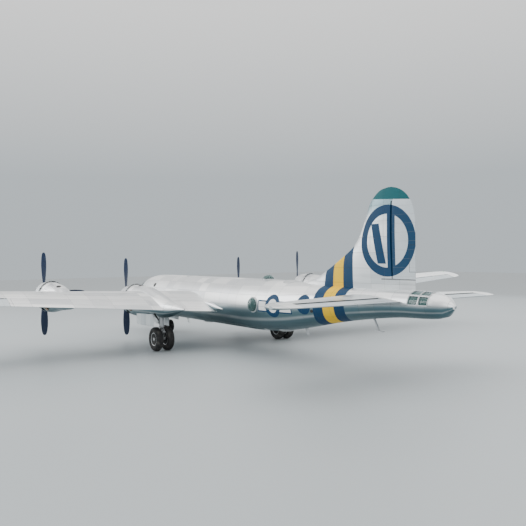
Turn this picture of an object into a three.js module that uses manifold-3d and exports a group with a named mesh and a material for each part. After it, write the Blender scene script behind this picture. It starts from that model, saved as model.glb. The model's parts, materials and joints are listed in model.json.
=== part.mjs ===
// A four-engine propeller transport plane with a round fuselage, a glazed nose, a mid wing and a tall
// round-topped fin, standing on its twin-wheel tricycle gear.
// Every size below is the real aircraft's, in millimetres. The exported group is a half-size model of it.
// X points forward, Y to the aircraft's left and Z up. The origin is on the ground, under the middle of
// the length. A station is a distance aft of the nose tip.
import * as THREE from "three";
import { mergeVertices } from "three/addons/utils/BufferGeometryUtils.js";
import Module from "manifold-3d";

const wasm = await Module();
wasm.setup();

const MODEL_SCALE = 0.5;
const LENGTH = 30180;
const SEAT_GAP = 0.6; // between pieces that rest on each other
const RUN_GAP = 12; // between a moving piece and what it swings past
const PIN_SIDES = 12;
const TRIM = 4000; // half size of a cutting block that only has to reach past what it cuts

const FUSELAGE_RADIUS = 1450;
const FUSELAGE_HEIGHT = 2750; // centreline above the ground
const FUSELAGE_SIDES = 24;
const SKIN = 60; // fuselage wall with its frames
const NOSE_LENGTH = 4000;
const NOSE_DROP = 130;
const NOSE_TIP_RADIUS = 90;
const NOSE_FULLNESS = 2.2;
const NOSE_STATIONS = [0, 60, 210, 705, 1325, 2095, 2880, NOSE_LENGTH];
const TAPER = [
  // station, radius, centre height
  [NOSE_LENGTH, 1450, 2750],
  [16500, 1450, 2750],
  [18200, 1395, 2790],
  [19900, 1260, 2865],
  [21600, 1070, 2985],
  [23300, 880, 3130],
  [25200, 720, 3260],
  [27200, 600, 3370],
  [29200, 545, 3400],
  [29850, 400, 3400],
  [LENGTH, 200, 3400],
];
const JOINT_STATIONS = { nose: 5500, centre: 16500, rear: 24000, tail: LENGTH };

const x = (station) => LENGTH / 2 - station;
const point = (station, y, z) => new THREE.Vector3(x(station), y, z);
const mix = (a, b, t) => a + (b - a) * t;

// Solids

function solidOf(geometry) {
  const bare = geometry.clone();
  bare.deleteAttribute("normal");
  bare.deleteAttribute("uv");
  const merged = mergeVertices(bare, 1e-3);
  const vertProperties = merged.attributes.position.array;
  const triVerts = new Uint32Array(merged.index.array);
  const made = new wasm.Manifold(new wasm.Mesh({ numProp: 3, vertProperties, triVerts }));
  if (made.volume() > 0) return made;
  triVerts.reverse();
  return new wasm.Manifold(new wasm.Mesh({ numProp: 3, vertProperties, triVerts }));
}

// A closed solid through rings of points, each ring with the same number of them.
function loft(rings) {
  const count = rings[0].length;
  const points = rings.flat();
  const triangles = [];
  rings.slice(1).forEach((_, r) => {
    for (let i = 0; i < count; i++) {
      const a = r * count + i;
      const b = r * count + ((i + 1) % count);
      triangles.push(a, b, b + count, a, b + count, a + count);
    }
  });
  const last = (rings.length - 1) * count;
  const ends = [rings[0], rings[rings.length - 1]].map((ring) => {
    const centre = new THREE.Vector3();
    ring.forEach((p) => centre.addScaledVector(p, 1 / count));
    points.push(centre);
    return points.length - 1;
  });
  for (let i = 0; i < count; i++) {
    const next = (i + 1) % count;
    triangles.push(next, i, ends[0], last + i, last + next, ends[1]);
  }
  const geometry = new THREE.BufferGeometry().setFromPoints(points);
  geometry.setIndex(triangles);
  return solidOf(geometry);
}

function block(s0, s1, y0, y1, z0, z1) {
  const geometry = new THREE.BoxGeometry(Math.abs(s1 - s0), Math.abs(y1 - y0), Math.abs(z1 - z0));
  geometry.translate(x((s0 + s1) / 2), (y0 + y1) / 2, (z0 + z1) / 2);
  return solidOf(geometry);
}

// The radius of a many-sided hole in which a round pin of as many sides can turn.
const clearOf = (radius, sides = PIN_SIDES) => (radius + SEAT_GAP) / Math.cos(Math.PI / sides);

// A round bar between two points.
function rod(from, to, radius, endRadius = radius, sides = PIN_SIDES) {
  const along = to.clone().sub(from);
  const geometry = new THREE.CylinderGeometry(endRadius, radius, along.length(), sides);
  const turn = new THREE.Quaternion().setFromUnitVectors(
    new THREE.Vector3(0, 1, 0),
    along.clone().normalize(),
  );
  geometry.applyQuaternion(turn);
  const middle = from.clone().add(to).multiplyScalar(0.5);
  geometry.translate(middle.x, middle.y, middle.z);
  return solidOf(geometry);
}

// A turned piece: its profile is a list of [radius, distance along the axis], and it closes on itself.
function turned(profile, sides, at, direction) {
  const closed = [...profile, profile[0]].map(([r, h]) => new THREE.Vector2(r, h));
  const geometry = new THREE.LatheGeometry(closed, sides);
  const turn = new THREE.Quaternion().setFromUnitVectors(new THREE.Vector3(0, 1, 0), direction);
  geometry.applyQuaternion(turn);
  geometry.translate(at.x, at.y, at.z);
  return solidOf(geometry);
}

const joined = (solids) => solids.reduce((a, b) => a.add(b));
const cutBy = (solid, cutters) => cutters.reduce((a, b) => a.subtract(b), solid);
const largest = (solid) =>
  solid.decompose().reduce((a, b) => (a.volume() > b.volume() ? a : b));
const FORWARD = new THREE.Vector3(1, 0, 0);
const LEFT = new THREE.Vector3(0, 1, 0);
const UP = new THREE.Vector3(0, 0, 1);

// Fuselage

function bodyAt(station) {
  if (station < NOSE_LENGTH) {
    const left = 1 - station / NOSE_LENGTH;
    const radius = FUSELAGE_RADIUS * Math.sqrt(1 - left ** NOSE_FULLNESS);
    return { radius: Math.max(NOSE_TIP_RADIUS, radius), height: FUSELAGE_HEIGHT - NOSE_DROP * left ** 2 };
  }
  const i = TAPER.findIndex((row) => row[0] >= station);
  const [s1, r1, z1] = TAPER[Math.max(i, 1)];
  const [s0, r0, z0] = TAPER[Math.max(i, 1) - 1];
  const t = (station - s0) / (s1 - s0);
  return { radius: mix(r0, r1, t), height: mix(z0, z1, t) };
}

function circle(station, radius, height, sides = FUSELAGE_SIDES) {
  return Array.from({ length: sides }, (_, i) => {
    const angle = (2 * Math.PI * i) / sides;
    return point(station, radius * Math.cos(angle), height + radius * Math.sin(angle));
  });
}

// The fuselage between two stations, drawn in by a depth measured square to its skin.
function hull(from, to, depth = 0) {
  const shape = [...NOSE_STATIONS, ...TAPER.map((row) => row[0])];
  const stations = [from, ...shape.filter((s) => s > from && s < to), to];
  return loft(
    [...new Set(stations)].map((s) => {
      const { radius, height } = bodyAt(s);
      const slope = depth && s < NOSE_LENGTH ? bodyAt(s + 20).radius / 20 - radius / 20 : 0;
      const square = Math.hypot(1, slope);
      return circle(s + (depth * slope) / square, radius - depth / square, height);
    }),
  );
}

const envelope = hull(0, LENGTH, -SEAT_GAP);

// A cutter for one window pane: a wedge of the body between two stations and two angles from level.
function pane(s0, s1, degrees0, degrees1) {
  const corner = (s, degrees, share) => {
    const { radius, height } = bodyAt(s);
    const angle = THREE.MathUtils.degToRad(degrees);
    return point(s, share * radius * Math.cos(angle), height + share * radius * Math.sin(angle));
  };
  const inner = 0.55;
  const outer = 1.3;
  const ring = (s) => [
    corner(s, degrees0, inner),
    corner(s, degrees0, outer),
    corner(s, degrees1, outer),
    corner(s, degrees1, inner),
  ];
  return loft([ring(s0), ring(s1)]);
}

function paneRow({ from, to, start, end, count, bar }) {
  const width = (end - start) / count;
  return Array.from({ length: count }, (_, i) =>
    pane(from, to, start + i * width + bar / 2, start + (i + 1) * width - bar / 2),
  );
}

const NOSE_PANES = [
  { from: 240, to: 675, start: -90, end: 270, count: 8, bar: 6 },
  { from: 735, to: 1295, start: -30, end: 210, count: 8, bar: 4 },
  { from: 1355, to: 2065, start: 0, end: 180, count: 6, bar: 3.5 },
  { from: 2125, to: 2850, start: 0, end: 30, count: 1, bar: 3 },
  { from: 2125, to: 2850, start: 150, end: 180, count: 1, bar: 3 },
];
const NOSE_EYE_RADIUS = 250;
const GLASS = 14;
const GLAZING_END = 2880;

const NOSE_WELL = { from: 2920, to: 5050, half: 400, top: 1900 };
const COCKPIT = { floor: 1900, floorThickness: 60, from: 1150, to: 5400 };

// The frames of the nose's glazing, open behind, where the nose section goes on.
function noseFrame() {
  const front = bodyAt(0).height;
  const eye = rod(point(-200, 0, front), point(220, 0, front), NOSE_EYE_RADIUS, undefined, 16);
  const inside = hull(0, GLAZING_END + SKIN, SKIN);
  return cutBy(hull(0, GLAZING_END - SEAT_GAP), [inside, eye, ...NOSE_PANES.flatMap(paneRow)]);
}

function noseSection() {
  const inside = hull(GLAZING_END - SKIN, JOINT_STATIONS.nose - SKIN, SKIN);
  const { from, to, half, top } = NOSE_WELL;
  const well = block(from, to, -half, half, 1000, top);
  return cutBy(hull(GLAZING_END, JOINT_STATIONS.nose - SEAT_GAP), [inside, well]);
}

// Glass behind all the nose frames, with a round eye that stands out through the foremost frame.
function noseGlazing() {
  const depth = SKIN + SEAT_GAP;
  const front = bodyAt(0).height;
  const disc = (radius) => rod(point(-100, 0, front), point(240, 0, front), radius, undefined, 16);
  const eye = hull(0, 240).intersect(disc(NOSE_EYE_RADIUS - 2 * SEAT_GAP));
  const hollow = hull(0, 300, GLASS).intersect(disc(NOSE_EYE_RADIUS - GLASS));
  const sheet = hull(0, GLAZING_END, depth).add(eye);
  return cutBy(sheet, [hull(0, GLAZING_END + 2 * GLASS, depth + GLASS), hollow]);
}

// The cockpit floor, cut to the round of the nose, with the nose wheel's box hanging from it.
function cockpitFloor() {
  const { floor, floorThickness, from, to } = COCKPIT;
  const inside = hull(0, JOINT_STATIONS.nose - SKIN - SEAT_GAP, SKIN + GLASS + 2 * SEAT_GAP + 10);
  const plate = block(from, to, -TRIM, TRIM, floor, floor + floorThickness);
  const wall = 30;
  const { half } = NOSE_WELL;
  const box = block(NOSE_WELL.from, NOSE_WELL.to, -half - wall, half + wall, 1000, floor + 1).subtract(
    block(NOSE_WELL.from + wall, NOSE_WELL.to - wall, -half, half, 900, floor - 5),
  );
  const columns = [-1, 1].flatMap((side) => [
    rod(point(1750, side * 520, floor + 20), point(1850, side * 520, floor + 620), 30, 25, 8),
    rod(point(1862, side * 520 - 170, floor + 640), point(1862, side * 520 + 170, floor + 640), 28, 28, 8),
  ]);
  return largest(joined([plate, box, ...columns]).intersect(inside));
}

function seat(side) {
  const y = side * 520;
  const base = COCKPIT.floor + COCKPIT.floorThickness + SEAT_GAP;
  return joined([
    block(2080, 2560, y - 60, y + 60, base, base + 320),
    block(2050, 2580, y - 240, y + 240, base + 300, base + 400),
    block(2520, 2620, y - 240, y + 240, base + 380, base + 1050),
    block(2530, 2600, y - 130, y + 130, base + 1040, base + 1220),
    block(2180, 2560, y - 290, y - 235, base + 520, base + 590).add(
      block(2180, 2560, y + 235, y + 290, base + 520, base + 590),
    ),
  ]);
}

function instrumentPanel() {
  const base = COCKPIT.floor + COCKPIT.floorThickness + SEAT_GAP;
  const centre = block(1500, 2350, -130, 130, base, base + 520);
  const panel = block(1440, 1520, -640, 640, base + 440, base + 900);
  return joined([centre, panel]).intersect(hull(0, 5000, SKIN + GLASS + 30));
}

// Cargo bays in the belly, one ahead of the wing's spars and one behind them, each with two long doors.
const BAYS = { front: [5900, 9200], back: [12400, 16200] };
const BAY_HALF = 760;
const DOOR_THICKNESS = 50;
const HINGE_INSET = { edge: 40, door: 12, skin: 22 }; // of a bay door's pin, from what is round it
const HINGE_PIN = 9;
const skinHeight = (y) => FUSELAGE_HEIGHT - Math.sqrt(FUSELAGE_RADIUS ** 2 - y ** 2);
const HINGE_Y = BAY_HALF - HINGE_INSET.edge;
const HINGE_Z = skinHeight(HINGE_Y) + HINGE_INSET.skin;

const bayPins = (radius, reach) =>
  Object.values(BAYS).flatMap(([from, to]) =>
    [-1, 1].map((side) =>
      rod(
        point(from - reach, side * HINGE_Y, HINGE_Z),
        point(to + reach, side * HINGE_Y, HINGE_Z),
        radius,
      ),
    ),
  );

function fuselageCentre() {
  const { nose, centre } = JOINT_STATIONS;
  const cuts = Object.values(BAYS).flatMap(([from, to]) => [
    hull(from, to, SKIN),
    block(from, to, -BAY_HALF, BAY_HALF, 1000, FUSELAGE_HEIGHT),
  ]);
  return cutBy(hull(nose, centre - SEAT_GAP), [...cuts, ...bayPins(clearOf(HINGE_PIN), 50)]);
}

function bayDoor([from, to], side) {
  const { nose, centre } = JOINT_STATIONS;
  const shell = hull(nose, centre).subtract(hull(nose - 10, centre + 10, DOOR_THICKNESS));
  const inner = RUN_GAP / 2;
  const outer = HINGE_Y + HINGE_INSET.door;
  const slab = block(from + RUN_GAP, to - RUN_GAP, side * inner, side * outer, 1000, 2200);
  const pin = rod(
    point(from - 30, side * HINGE_Y, HINGE_Z),
    point(to + 30, side * HINGE_Y, HINGE_Z),
    HINGE_PIN,
  );
  return shell.intersect(slab).add(pin);
}

// Observers' domes: a cylinder that fits its hole, closed by a round cap.
const DOMES = {
  left: { station: 17670, base: 380, rise: 250, side: 1 },
  right: { station: 17670, base: 380, rise: 250, side: -1 },
  top: { station: 17150, base: 330, rise: 240, side: 0 },
};
const DOME_HEIGHT = 2860;
const DOME_SEAT = 70; // depth of the cylinder inside the skin
const DOME_SIDES = 14;
const DOME_ARCS = 3;

function domeFrame({ station, side }) {
  const { radius, height } = bodyAt(station);
  if (!side) return { at: point(station, 0, height + radius), out: UP };
  const reach = Math.sqrt(radius ** 2 - (DOME_HEIGHT - height) ** 2);
  return { at: point(station, side * reach, DOME_HEIGHT), out: LEFT.clone().multiplyScalar(side) };
}

function domeHole(dome) {
  const { at, out } = domeFrame(dome);
  const reach = out.clone().multiplyScalar(400);
  return rod(at.clone().sub(reach), at.clone().add(reach), dome.base + SEAT_GAP, undefined, DOME_SIDES);
}

function domeShell(dome) {
  const { at, out } = domeFrame(dome);
  const arc = (base, rise) =>
    Array.from({ length: DOME_ARCS + 1 }, (_, i) => {
      const angle = (Math.PI / 2) * (i / DOME_ARCS);
      return [i === DOME_ARCS ? 0 : base * Math.cos(angle), rise * Math.sin(angle)];
    });
  const outside = arc(dome.base, dome.rise);
  const inside = arc(dome.base - GLASS, dome.rise - GLASS).reverse();
  const profile = [[dome.base - GLASS, -DOME_SEAT], [dome.base, -DOME_SEAT], ...outside, ...inside];
  return turned(profile, DOME_SIDES, at, out);
}

// Crew entry door in the right side of the rear fuselage: it is hinged at its front edge and opens inward.
const ENTRY = { from: 21480, to: 22240, low: 2520, high: 3450, hingeY: -936, aftGap: 26, frontGap: 22 };
const ENTRY_HINGE = ENTRY.from + ENTRY.frontGap + 20;

const entryPin = (radius, reach) =>
  rod(
    point(ENTRY_HINGE, ENTRY.hingeY, ENTRY.low - reach),
    point(ENTRY_HINGE, ENTRY.hingeY, ENTRY.high + reach),
    radius,
  );

const REAR_CAVITIES = [
  [16900, 21000],
  [21300, 23800],
];

function fuselageRear() {
  const { centre, rear } = JOINT_STATIONS;
  const { from, to, low, high } = ENTRY;
  return cutBy(hull(centre, rear - SEAT_GAP), [
    ...REAR_CAVITIES.map(([s0, s1]) => hull(s0, s1, SKIN)),
    ...Object.values(DOMES).map(domeHole),
    block(from, to, -TRIM, -500, low, high),
    entryPin(clearOf(10), 30),
  ]);
}

function entryDoor() {
  const { from, to, low, high, aftGap, frontGap } = ENTRY;
  const shell = hull(21000, 23000).subtract(hull(20900, 23100, DOOR_THICKNESS));
  const slab = block(from + frontGap, to - aftGap, -TRIM, -500, low + RUN_GAP, high - RUN_GAP);
  return shell.intersect(slab).add(entryPin(10, 20));
}

// Tail section, hollow, with an observer's cabin at its end.
const TAIL_CAVITY = [24200, 29700];
const TAIL_PANES = [
  { from: 28150, to: 28650, start: 0, end: 180, count: 4, bar: 8 },
  { from: 28720, to: 29160, start: 0, end: 180, count: 4, bar: 8 },
];
const TAIL_SKIN = 45;

function tailSection() {
  const { rear, tail } = JOINT_STATIONS;
  return cutBy(hull(rear, tail), [hull(...TAIL_CAVITY, TAIL_SKIN), ...TAIL_PANES.flatMap(paneRow)]);
}

const tailGlazing = () =>
  hull(28060, 29195, TAIL_SKIN + SEAT_GAP).subtract(
    hull(28000, 29250, TAIL_SKIN + SEAT_GAP + GLASS),
  );

function tailBumper() {
  const foot = 2080;
  const leg = rod(point(25500, 0, 2800), point(25900, 0, foot), 60, 40);
  const shoe = block(25720, 26180, -70, 70, foot - 40, foot + 10);
  return largest(joined([leg, shoe]).subtract(envelope));
}

// Wing. Each side is one panel from the fuselage to its tip, with dihedral and a small incidence.
const WING = {
  frontRoot: 8500,
  frontSweep: 0.1228,
  rearRoot: 13700,
  rearSweep: -0.017,
  height: 2455,
  dihedral: 0.068,
  incidence: THREE.MathUtils.degToRad(6.2),
  pivot: 0.4,
  camber: 0.038,
  trailingHalf: 9,
};
const SPAN_ROWS = [
  // distance from the centreline, share of the full chord that is left, thickness share of the chord
  [900, 1, 0.22],
  [4340, 1, 0.205],
  [9650, 1, 0.18],
  [20400, 1, 0.12],
  [21080, 0.84, 0.11],
  [21400, 0.58, 0.09],
  [21525, 0.25, 0.06],
];
const CHORD_STEPS = [0, 0.02, 0.09, 0.22, 0.4, 0.6, 0.8, 1];

function spanRow(y) {
  const i = Math.max(1, SPAN_ROWS.findIndex((row) => row[0] >= y));
  const [y1, left1, thick1] = SPAN_ROWS[i];
  const [y0, left0, thick0] = SPAN_ROWS[i - 1];
  const t = (y - y0) / (y1 - y0);
  return { left: mix(left0, left1, t), thickness: mix(thick0, thick1, t) };
}

// Half thickness of a rounded wing section, as a share of its chord, at a share of the chord.
const fullness = (share, thickness) =>
  5 *
  thickness *
  (0.2969 * Math.sqrt(share) - 0.126 * share - 0.3516 * share ** 2 + 0.2843 * share ** 3 - 0.1036 * share ** 4);

// The point of the wing at a span, a share of the chord and a height above the chord line.
function wingPoint(y, share, lift = 0, side = 1) {
  const front = WING.frontRoot + WING.frontSweep * y;
  const rear = WING.rearRoot + WING.rearSweep * y;
  const aft = (share - WING.pivot) * (rear - front);
  const station = mix(front, rear, WING.pivot) + aft * Math.cos(WING.incidence);
  const height = WING.height + WING.dihedral * y + lift - aft * Math.sin(WING.incidence);
  return point(station, side * y, height);
}

const chordAt = (y) => WING.rearRoot - WING.frontRoot + (WING.rearSweep - WING.frontSweep) * y;

function wingRing(y, side, grow) {
  const { left, thickness } = spanRow(y);
  const chord = chordAt(y);
  const edge = grow / chord;
  const at = (share, surface) => {
    const local = 0.45 + (share - 0.45) * left;
    const camber = WING.camber * 4 * share * (1 - share) * chord * left;
    const half = fullness(share, thickness) * chord * left + WING.trailingHalf * share;
    const placed = local + (share === 0 ? -edge : share === 1 ? edge : 0);
    return wingPoint(y, placed, camber + surface * (share === 0 ? 0 : half + grow), side);
  };
  const upper = CHORD_STEPS.map((share) => at(share, 1));
  const lower = CHORD_STEPS.slice(1).map((share) => at(share, -1));
  return [...upper, ...lower.reverse()];
}

const wingBlank = (side, grow = 0) => loft(SPAN_ROWS.map(([y]) => wingRing(y, side, grow)));

// A piece of the wing's rear edge: a flap, or an aileron that turns about its hinge line.
const FLAP_SHARE = 0.74;
const FLAPS = { inner: [1700, 3420], outer: [5260, 12850] };
const AILERON = { from: 13000, to: 20300, hinge: 0.77, pin: 22 };

// The main wheels' well, open below: it goes up through the inboard nacelle into the wing.
const MAIN_WELL = { from: 9800, to: 12600, y: 4340, half: 520, top: 2560 };

function mainWell(side) {
  const { from, to, y, half, top } = MAIN_WELL;
  return block(from, to, side * (y - half), side * (y + half), 500, top);
}

function rearCutter(y0, y1, share, side) {
  const ring = (y) => [
    wingPoint(y, share, -900, side),
    wingPoint(y, share, 900, side),
    wingPoint(y, 1.2, 900, side),
    wingPoint(y, 1.2, -900, side),
  ];
  return loft([ring(y0), ring(y1)]);
}

// A control surface between two ends. Each end gives the hinge point, the trailing edge and its half
// thickness there; the nose is round about the hinge.
const NOSE_STEPS = 6;

function controlSurface(ends) {
  return loft(
    ends.map(({ hinge, rear, half, across }) => {
      const aft = rear.clone().sub(hinge).normalize();
      const nose = Array.from({ length: NOSE_STEPS + 1 }, (_, i) => {
        const angle = Math.PI / 2 + (Math.PI * i) / NOSE_STEPS;
        return hinge
          .clone()
          .addScaledVector(aft, half * Math.cos(angle))
          .addScaledVector(across, half * Math.sin(angle));
      });
      const edge = [-1, 1].map((s) => rear.clone().addScaledVector(across, s * WING.trailingHalf));
      return [...nose, ...edge];
    }),
  );
}

function hingePins(ends, radius, reach) {
  const [a, b] = [ends[0].hinge, ends[ends.length - 1].hinge];
  const along = b.clone().sub(a).normalize().multiplyScalar(reach);
  return rod(a.clone().sub(along), b.clone().add(along), radius);
}

function aileronEnds(side) {
  const { from, to, hinge } = AILERON;
  return [from + RUN_GAP, to - RUN_GAP].map((y) => {
    const { thickness } = spanRow(y);
    const camber = (share) => WING.camber * 4 * share * (1 - share) * chordAt(y);
    return {
      hinge: wingPoint(y, hinge, camber(hinge), side),
      rear: wingPoint(y, 1, 0, side),
      half: fullness(hinge, thickness) * chordAt(y),
      across: UP,
    };
  });
}

const aileron = (side) => {
  const ends = aileronEnds(side);
  return controlSurface(ends).add(hingePins(ends, AILERON.pin, 40));
};

function flap([y0, y1], side) {
  const gap = RUN_GAP;
  return wingBlank(side).intersect(
    rearCutter(y0 + gap, y1 - gap, FLAP_SHARE + SEAT_GAP / chordAt(y0) + 0.00005, side),
  );
}

function wing(side) {
  const { from, to, hinge, pin } = AILERON;
  const ends = aileronEnds(side);
  const nose = Math.max(...ends.map((end) => end.half)) + 2 * RUN_GAP;
  return largest(
    cutBy(wingBlank(side), [
      envelope,
      ...Object.values(FLAPS).map(([y0, y1]) => rearCutter(y0, y1, FLAP_SHARE, side)),
      rearCutter(from, to, hinge - nose / chordAt(to), side),
      hingePins(ends, clearOf(pin), 70),
      mainWell(side),
    ]),
  );
}

// Nacelles, numbered from the left wing tip to the right one.
const NACELLE_SIDES = 18;
const ENGINES = [
  { name: "1", y: 9650, thrust: 3330, prop: 7000, inner: false },
  { name: "2", y: 4340, thrust: 2930, prop: 6900, inner: true },
  { name: "3", y: -4340, thrust: 2930, prop: 6900, inner: true },
  { name: "4", y: -9650, thrust: 3330, prop: 7000, inner: false },
];
const COWL_SETBACK = 380;
const COWL_BORE = 520;
const BORE_SIDES = 18;
const COWL_DEPTH = 900;
const INNER_ROWS = [
  // distance aft of the cowl's lip, half width, half height, centre against the thrust line
  [0, 620, 690, -70],
  [80, 690, 780, -85],
  [380, 755, 870, -110],
  [1500, 800, 975, -140],
  [3400, 780, 900, -170],
  [5000, 660, 670, -330],
  [6320, 430, 440, -420],
  [7320, 200, 210, -370],
  [8010, 40, 45, -350],
];
const OUTER_ROWS = [
  [0, 620, 690, -70],
  [80, 690, 780, -85],
  [380, 755, 860, -110],
  [1500, 770, 880, -120],
  [2900, 680, 700, -120],
  [4100, 480, 440, -260],
  [5100, 240, 240, -350],
  [5600, 60, 60, -380],
];

function nacelle({ y, thrust, prop, inner }) {
  const lip = prop + COWL_SETBACK;
  const rows = inner ? INNER_ROWS : OUTER_ROWS;
  const rings = rows.map(([aft, half, tall, lift]) =>
    Array.from({ length: NACELLE_SIDES }, (_, i) => {
      const angle = (2 * Math.PI * i) / NACELLE_SIDES;
      return point(lip + aft, y + half * Math.cos(angle), thrust + lift + tall * Math.sin(angle));
    }),
  );
  const side = Math.sign(y);
  const bore = rod(point(lip - 50, y, thrust), point(lip + COWL_DEPTH, y, thrust), COWL_BORE, undefined, BORE_SIDES);
  const chin = block(lip - 50, lip + 500, y - 330, y + 330, thrust - 735, thrust - 560);
  const cuts = [bore, chin, wingBlank(side, 1)];
  if (inner) cuts.push(mainWell(side));
  return largest(cutBy(loft(rings), cuts));
}

// A radial engine: a round back plate in the cowl, a crankcase and its front row of cylinders.
const CYLINDER = { count: 9, length: 420, width: 236, inner: 240, outer: 493, ahead: 470 };
const PROP_SHAFT = 80;
const SHAFT_BORE = clearOf(PROP_SHAFT, BORE_SIDES);

function engine({ y, thrust, prop }) {
  const back = prop + COWL_SETBACK + COWL_DEPTH - SEAT_GAP;
  const at = point(back, y, thrust);
  const caseProfile = [
    [SHAFT_BORE, 640],
    [SHAFT_BORE, 1130],
    [150, 1130],
    [300, 860],
    [300, 240],
    [COWL_BORE - 2, 240],
    [COWL_BORE - 2, 0],
    [0, 0],
    [0, 640],
  ];
  const body = turned(caseProfile, BORE_SIDES, at, FORWARD);
  const cylinders = Array.from({ length: CYLINDER.count }, (_, i) => {
    const { length, width, inner, outer, ahead, count } = CYLINDER;
    const geometry = new THREE.BoxGeometry(length, outer - inner, width);
    geometry.translate(ahead, (inner + outer) / 2, 0);
    geometry.rotateX((2 * Math.PI * (i + 0.5)) / count);
    geometry.translate(at.x, at.y, at.z);
    return solidOf(geometry);
  });
  return joined([body, ...cylinders]);
}

// A four-blade propeller on its shaft, with a round hub dome.
const PROP_RADIUS = 2520;
const BLADES = 4;
const BLADE_ROWS = [
  // radius, chord, thickness, pitch in degrees from the disc plane
  [120, 210, 170, 56],
  [1000, 390, 90, 42],
  [1700, 430, 50, 30],
  [2340, 300, 28, 23],
  [PROP_RADIUS, 160, 14, 20],
];

function blade(at, turn) {
  const outline = [
    [-0.5, 0],
    [-0.2, 0.5],
    [0.2, 0.4],
    [0.5, 0],
    [0.2, -0.4],
    [-0.2, -0.5],
  ];
  const out = new THREE.Vector3(0, Math.cos(turn), Math.sin(turn));
  const around = new THREE.Vector3(0, -Math.sin(turn), Math.cos(turn));
  return loft(
    BLADE_ROWS.map(([radius, chord, thick, degrees]) => {
      const pitch = THREE.MathUtils.degToRad(degrees);
      const along = around.clone().multiplyScalar(Math.cos(pitch)).addScaledVector(FORWARD, Math.sin(pitch));
      const through = FORWARD.clone()
        .multiplyScalar(Math.cos(pitch))
        .addScaledVector(around, -Math.sin(pitch));
      return outline.map(([u, v]) =>
        at
          .clone()
          .addScaledVector(out, radius)
          .addScaledVector(along, -u * chord)
          .addScaledVector(through, v * thick),
      );
    }),
  );
}

function propeller({ y, thrust, prop }) {
  const at = point(prop, y, thrust);
  const hub = turned(
    [
      [0, -330],
      [PROP_SHAFT, -330],
      [PROP_SHAFT, -120],
      [185, -120],
      [185, 100],
      [110, 280],
      [0, 345],
    ],
    12,
    at,
    FORWARD,
  );
  const blades = Array.from({ length: BLADES }, (_, i) => blade(at, Math.PI / 2 + (2 * Math.PI * i) / BLADES));
  return joined([hub, ...blades]);
}

// Fin with its dorsal fillet, and the rudder hinged between the fin's base and its round cap.
const FIN = { rear: 28100, bend: 6600, draw: 1500, hinge: 26900, foot: 4440, cap: 7950, pin: 24 };
const FIN_ROWS = [
  // height, station of the front edge, greatest half thickness
  [3600, 19000, 210],
  [4050, 20150, 205],
  [4300, 21300, 200],
  [4690, 22200, 195],
  [5260, 23270, 190],
  [5780, 24150, 185],
  [6050, 24450, 180],
  [6500, 24780, 172],
  [7300, 25160, 150],
  [7800, 25400, 130],
  [8060, 25620, 110],
  [8270, 25880, 85],
  [8400, 26160, 60],
  [8460, 26520, 30],
];
const FIN_STEPS = [0, 0.025, 0.12, 0.33, 0.65, 1];

// The fin's rear edge is upright, then follows the round top.
const finRear = (height) => {
  const top = FIN_ROWS[FIN_ROWS.length - 1][0];
  const over = Math.max(0, height - FIN.bend) / (top - FIN.bend);
  return FIN.rear - FIN.draw * (1 - Math.sqrt(1 - Math.min(over, 0.995) ** 2.6));
};

function finHalf(height, share) {
  const i = Math.max(1, FIN_ROWS.findIndex((row) => row[0] >= height));
  const [z1, front1, half1] = FIN_ROWS[i];
  const [z0, front0, half0] = FIN_ROWS[i - 1];
  const t = (height - z0) / (z1 - z0);
  const peak = fullness(0.3, 1);
  return { front: mix(front0, front1, t), half: (mix(half0, half1, t) * fullness(share, 1)) / peak };
}

function finBlank() {
  const ring = ([height, front]) => {
    const rear = finRear(height);
    const at = (share, surface) => {
      const { half } = finHalf(height, share);
      return point(mix(front, rear, share), surface * (half + WING.trailingHalf * share), height);
    };
    const left = FIN_STEPS.map((share) => at(share, share ? 1 : 0));
    const right = FIN_STEPS.slice(1).map((share) => at(share, -1));
    return [...left, ...right.reverse()];
  };
  return loft(FIN_ROWS.map(ring));
}

const RUDDER_HEIGHTS = [FIN.foot, 5300, 6500, 7300, 7700, FIN.cap];

const rudderEnds = () =>
  RUDDER_HEIGHTS.map((height, i) => {
    const gap = i === 0 ? RUN_GAP : i === RUDDER_HEIGHTS.length - 1 ? -RUN_GAP : 0;
    const rear = finRear(height);
    const { front } = finHalf(height, 0.5);
    const share = (FIN.hinge - front) / (rear - front);
    return {
      hinge: point(FIN.hinge, 0, height + gap),
      rear: point(rear, 0, height + gap),
      half: finHalf(height, share).half + WING.trailingHalf,
      across: LEFT,
    };
  });

function fin() {
  const ends = rudderEnds();
  const nose = Math.max(...ends.map((end) => end.half)) + 2 * RUN_GAP;
  return largest(
    cutBy(finBlank(), [
      envelope,
      block(FIN.hinge - nose, LENGTH + 500, -TRIM, TRIM, FIN.foot, FIN.cap),
      hingePins(ends, clearOf(FIN.pin), 90),
    ]),
  );
}

const rudder = () => {
  const ends = rudderEnds();
  return controlSurface(ends).add(hingePins(ends, FIN.pin, 60));
};

// Tailplane: a fixed stabiliser each side with an elevator that is hinged between its root and its tip.
const TAILPLANE = { height: 3510, hinge: 26900, root: 860, tip: 5450, pin: 18 };
const TAILPLANE_ROWS = [
  // distance from the centreline, front edge, rear edge, half thickness
  [300, 24250, 27760, 210],
  [TAILPLANE.root, 24400, 27740, 205],
  [TAILPLANE.tip, 25560, 27560, 136],
  [6000, 25950, 27480, 119],
  [6350, 26330, 27330, 91],
  [6500, 26600, 27150, 58],
];

function tailplaneRing([y, front, rear, half], side) {
  const peak = fullness(0.3, 1);
  const at = (share, surface) => {
    const lift = (half * fullness(share, 1)) / peak + WING.trailingHalf * share;
    return point(mix(front, rear, share), side * y, TAILPLANE.height + surface * lift);
  };
  const upper = FIN_STEPS.map((share) => at(share, share ? 1 : 0));
  const lower = FIN_STEPS.slice(1).map((share) => at(share, -1));
  return [...upper, ...lower.reverse()];
}

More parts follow.
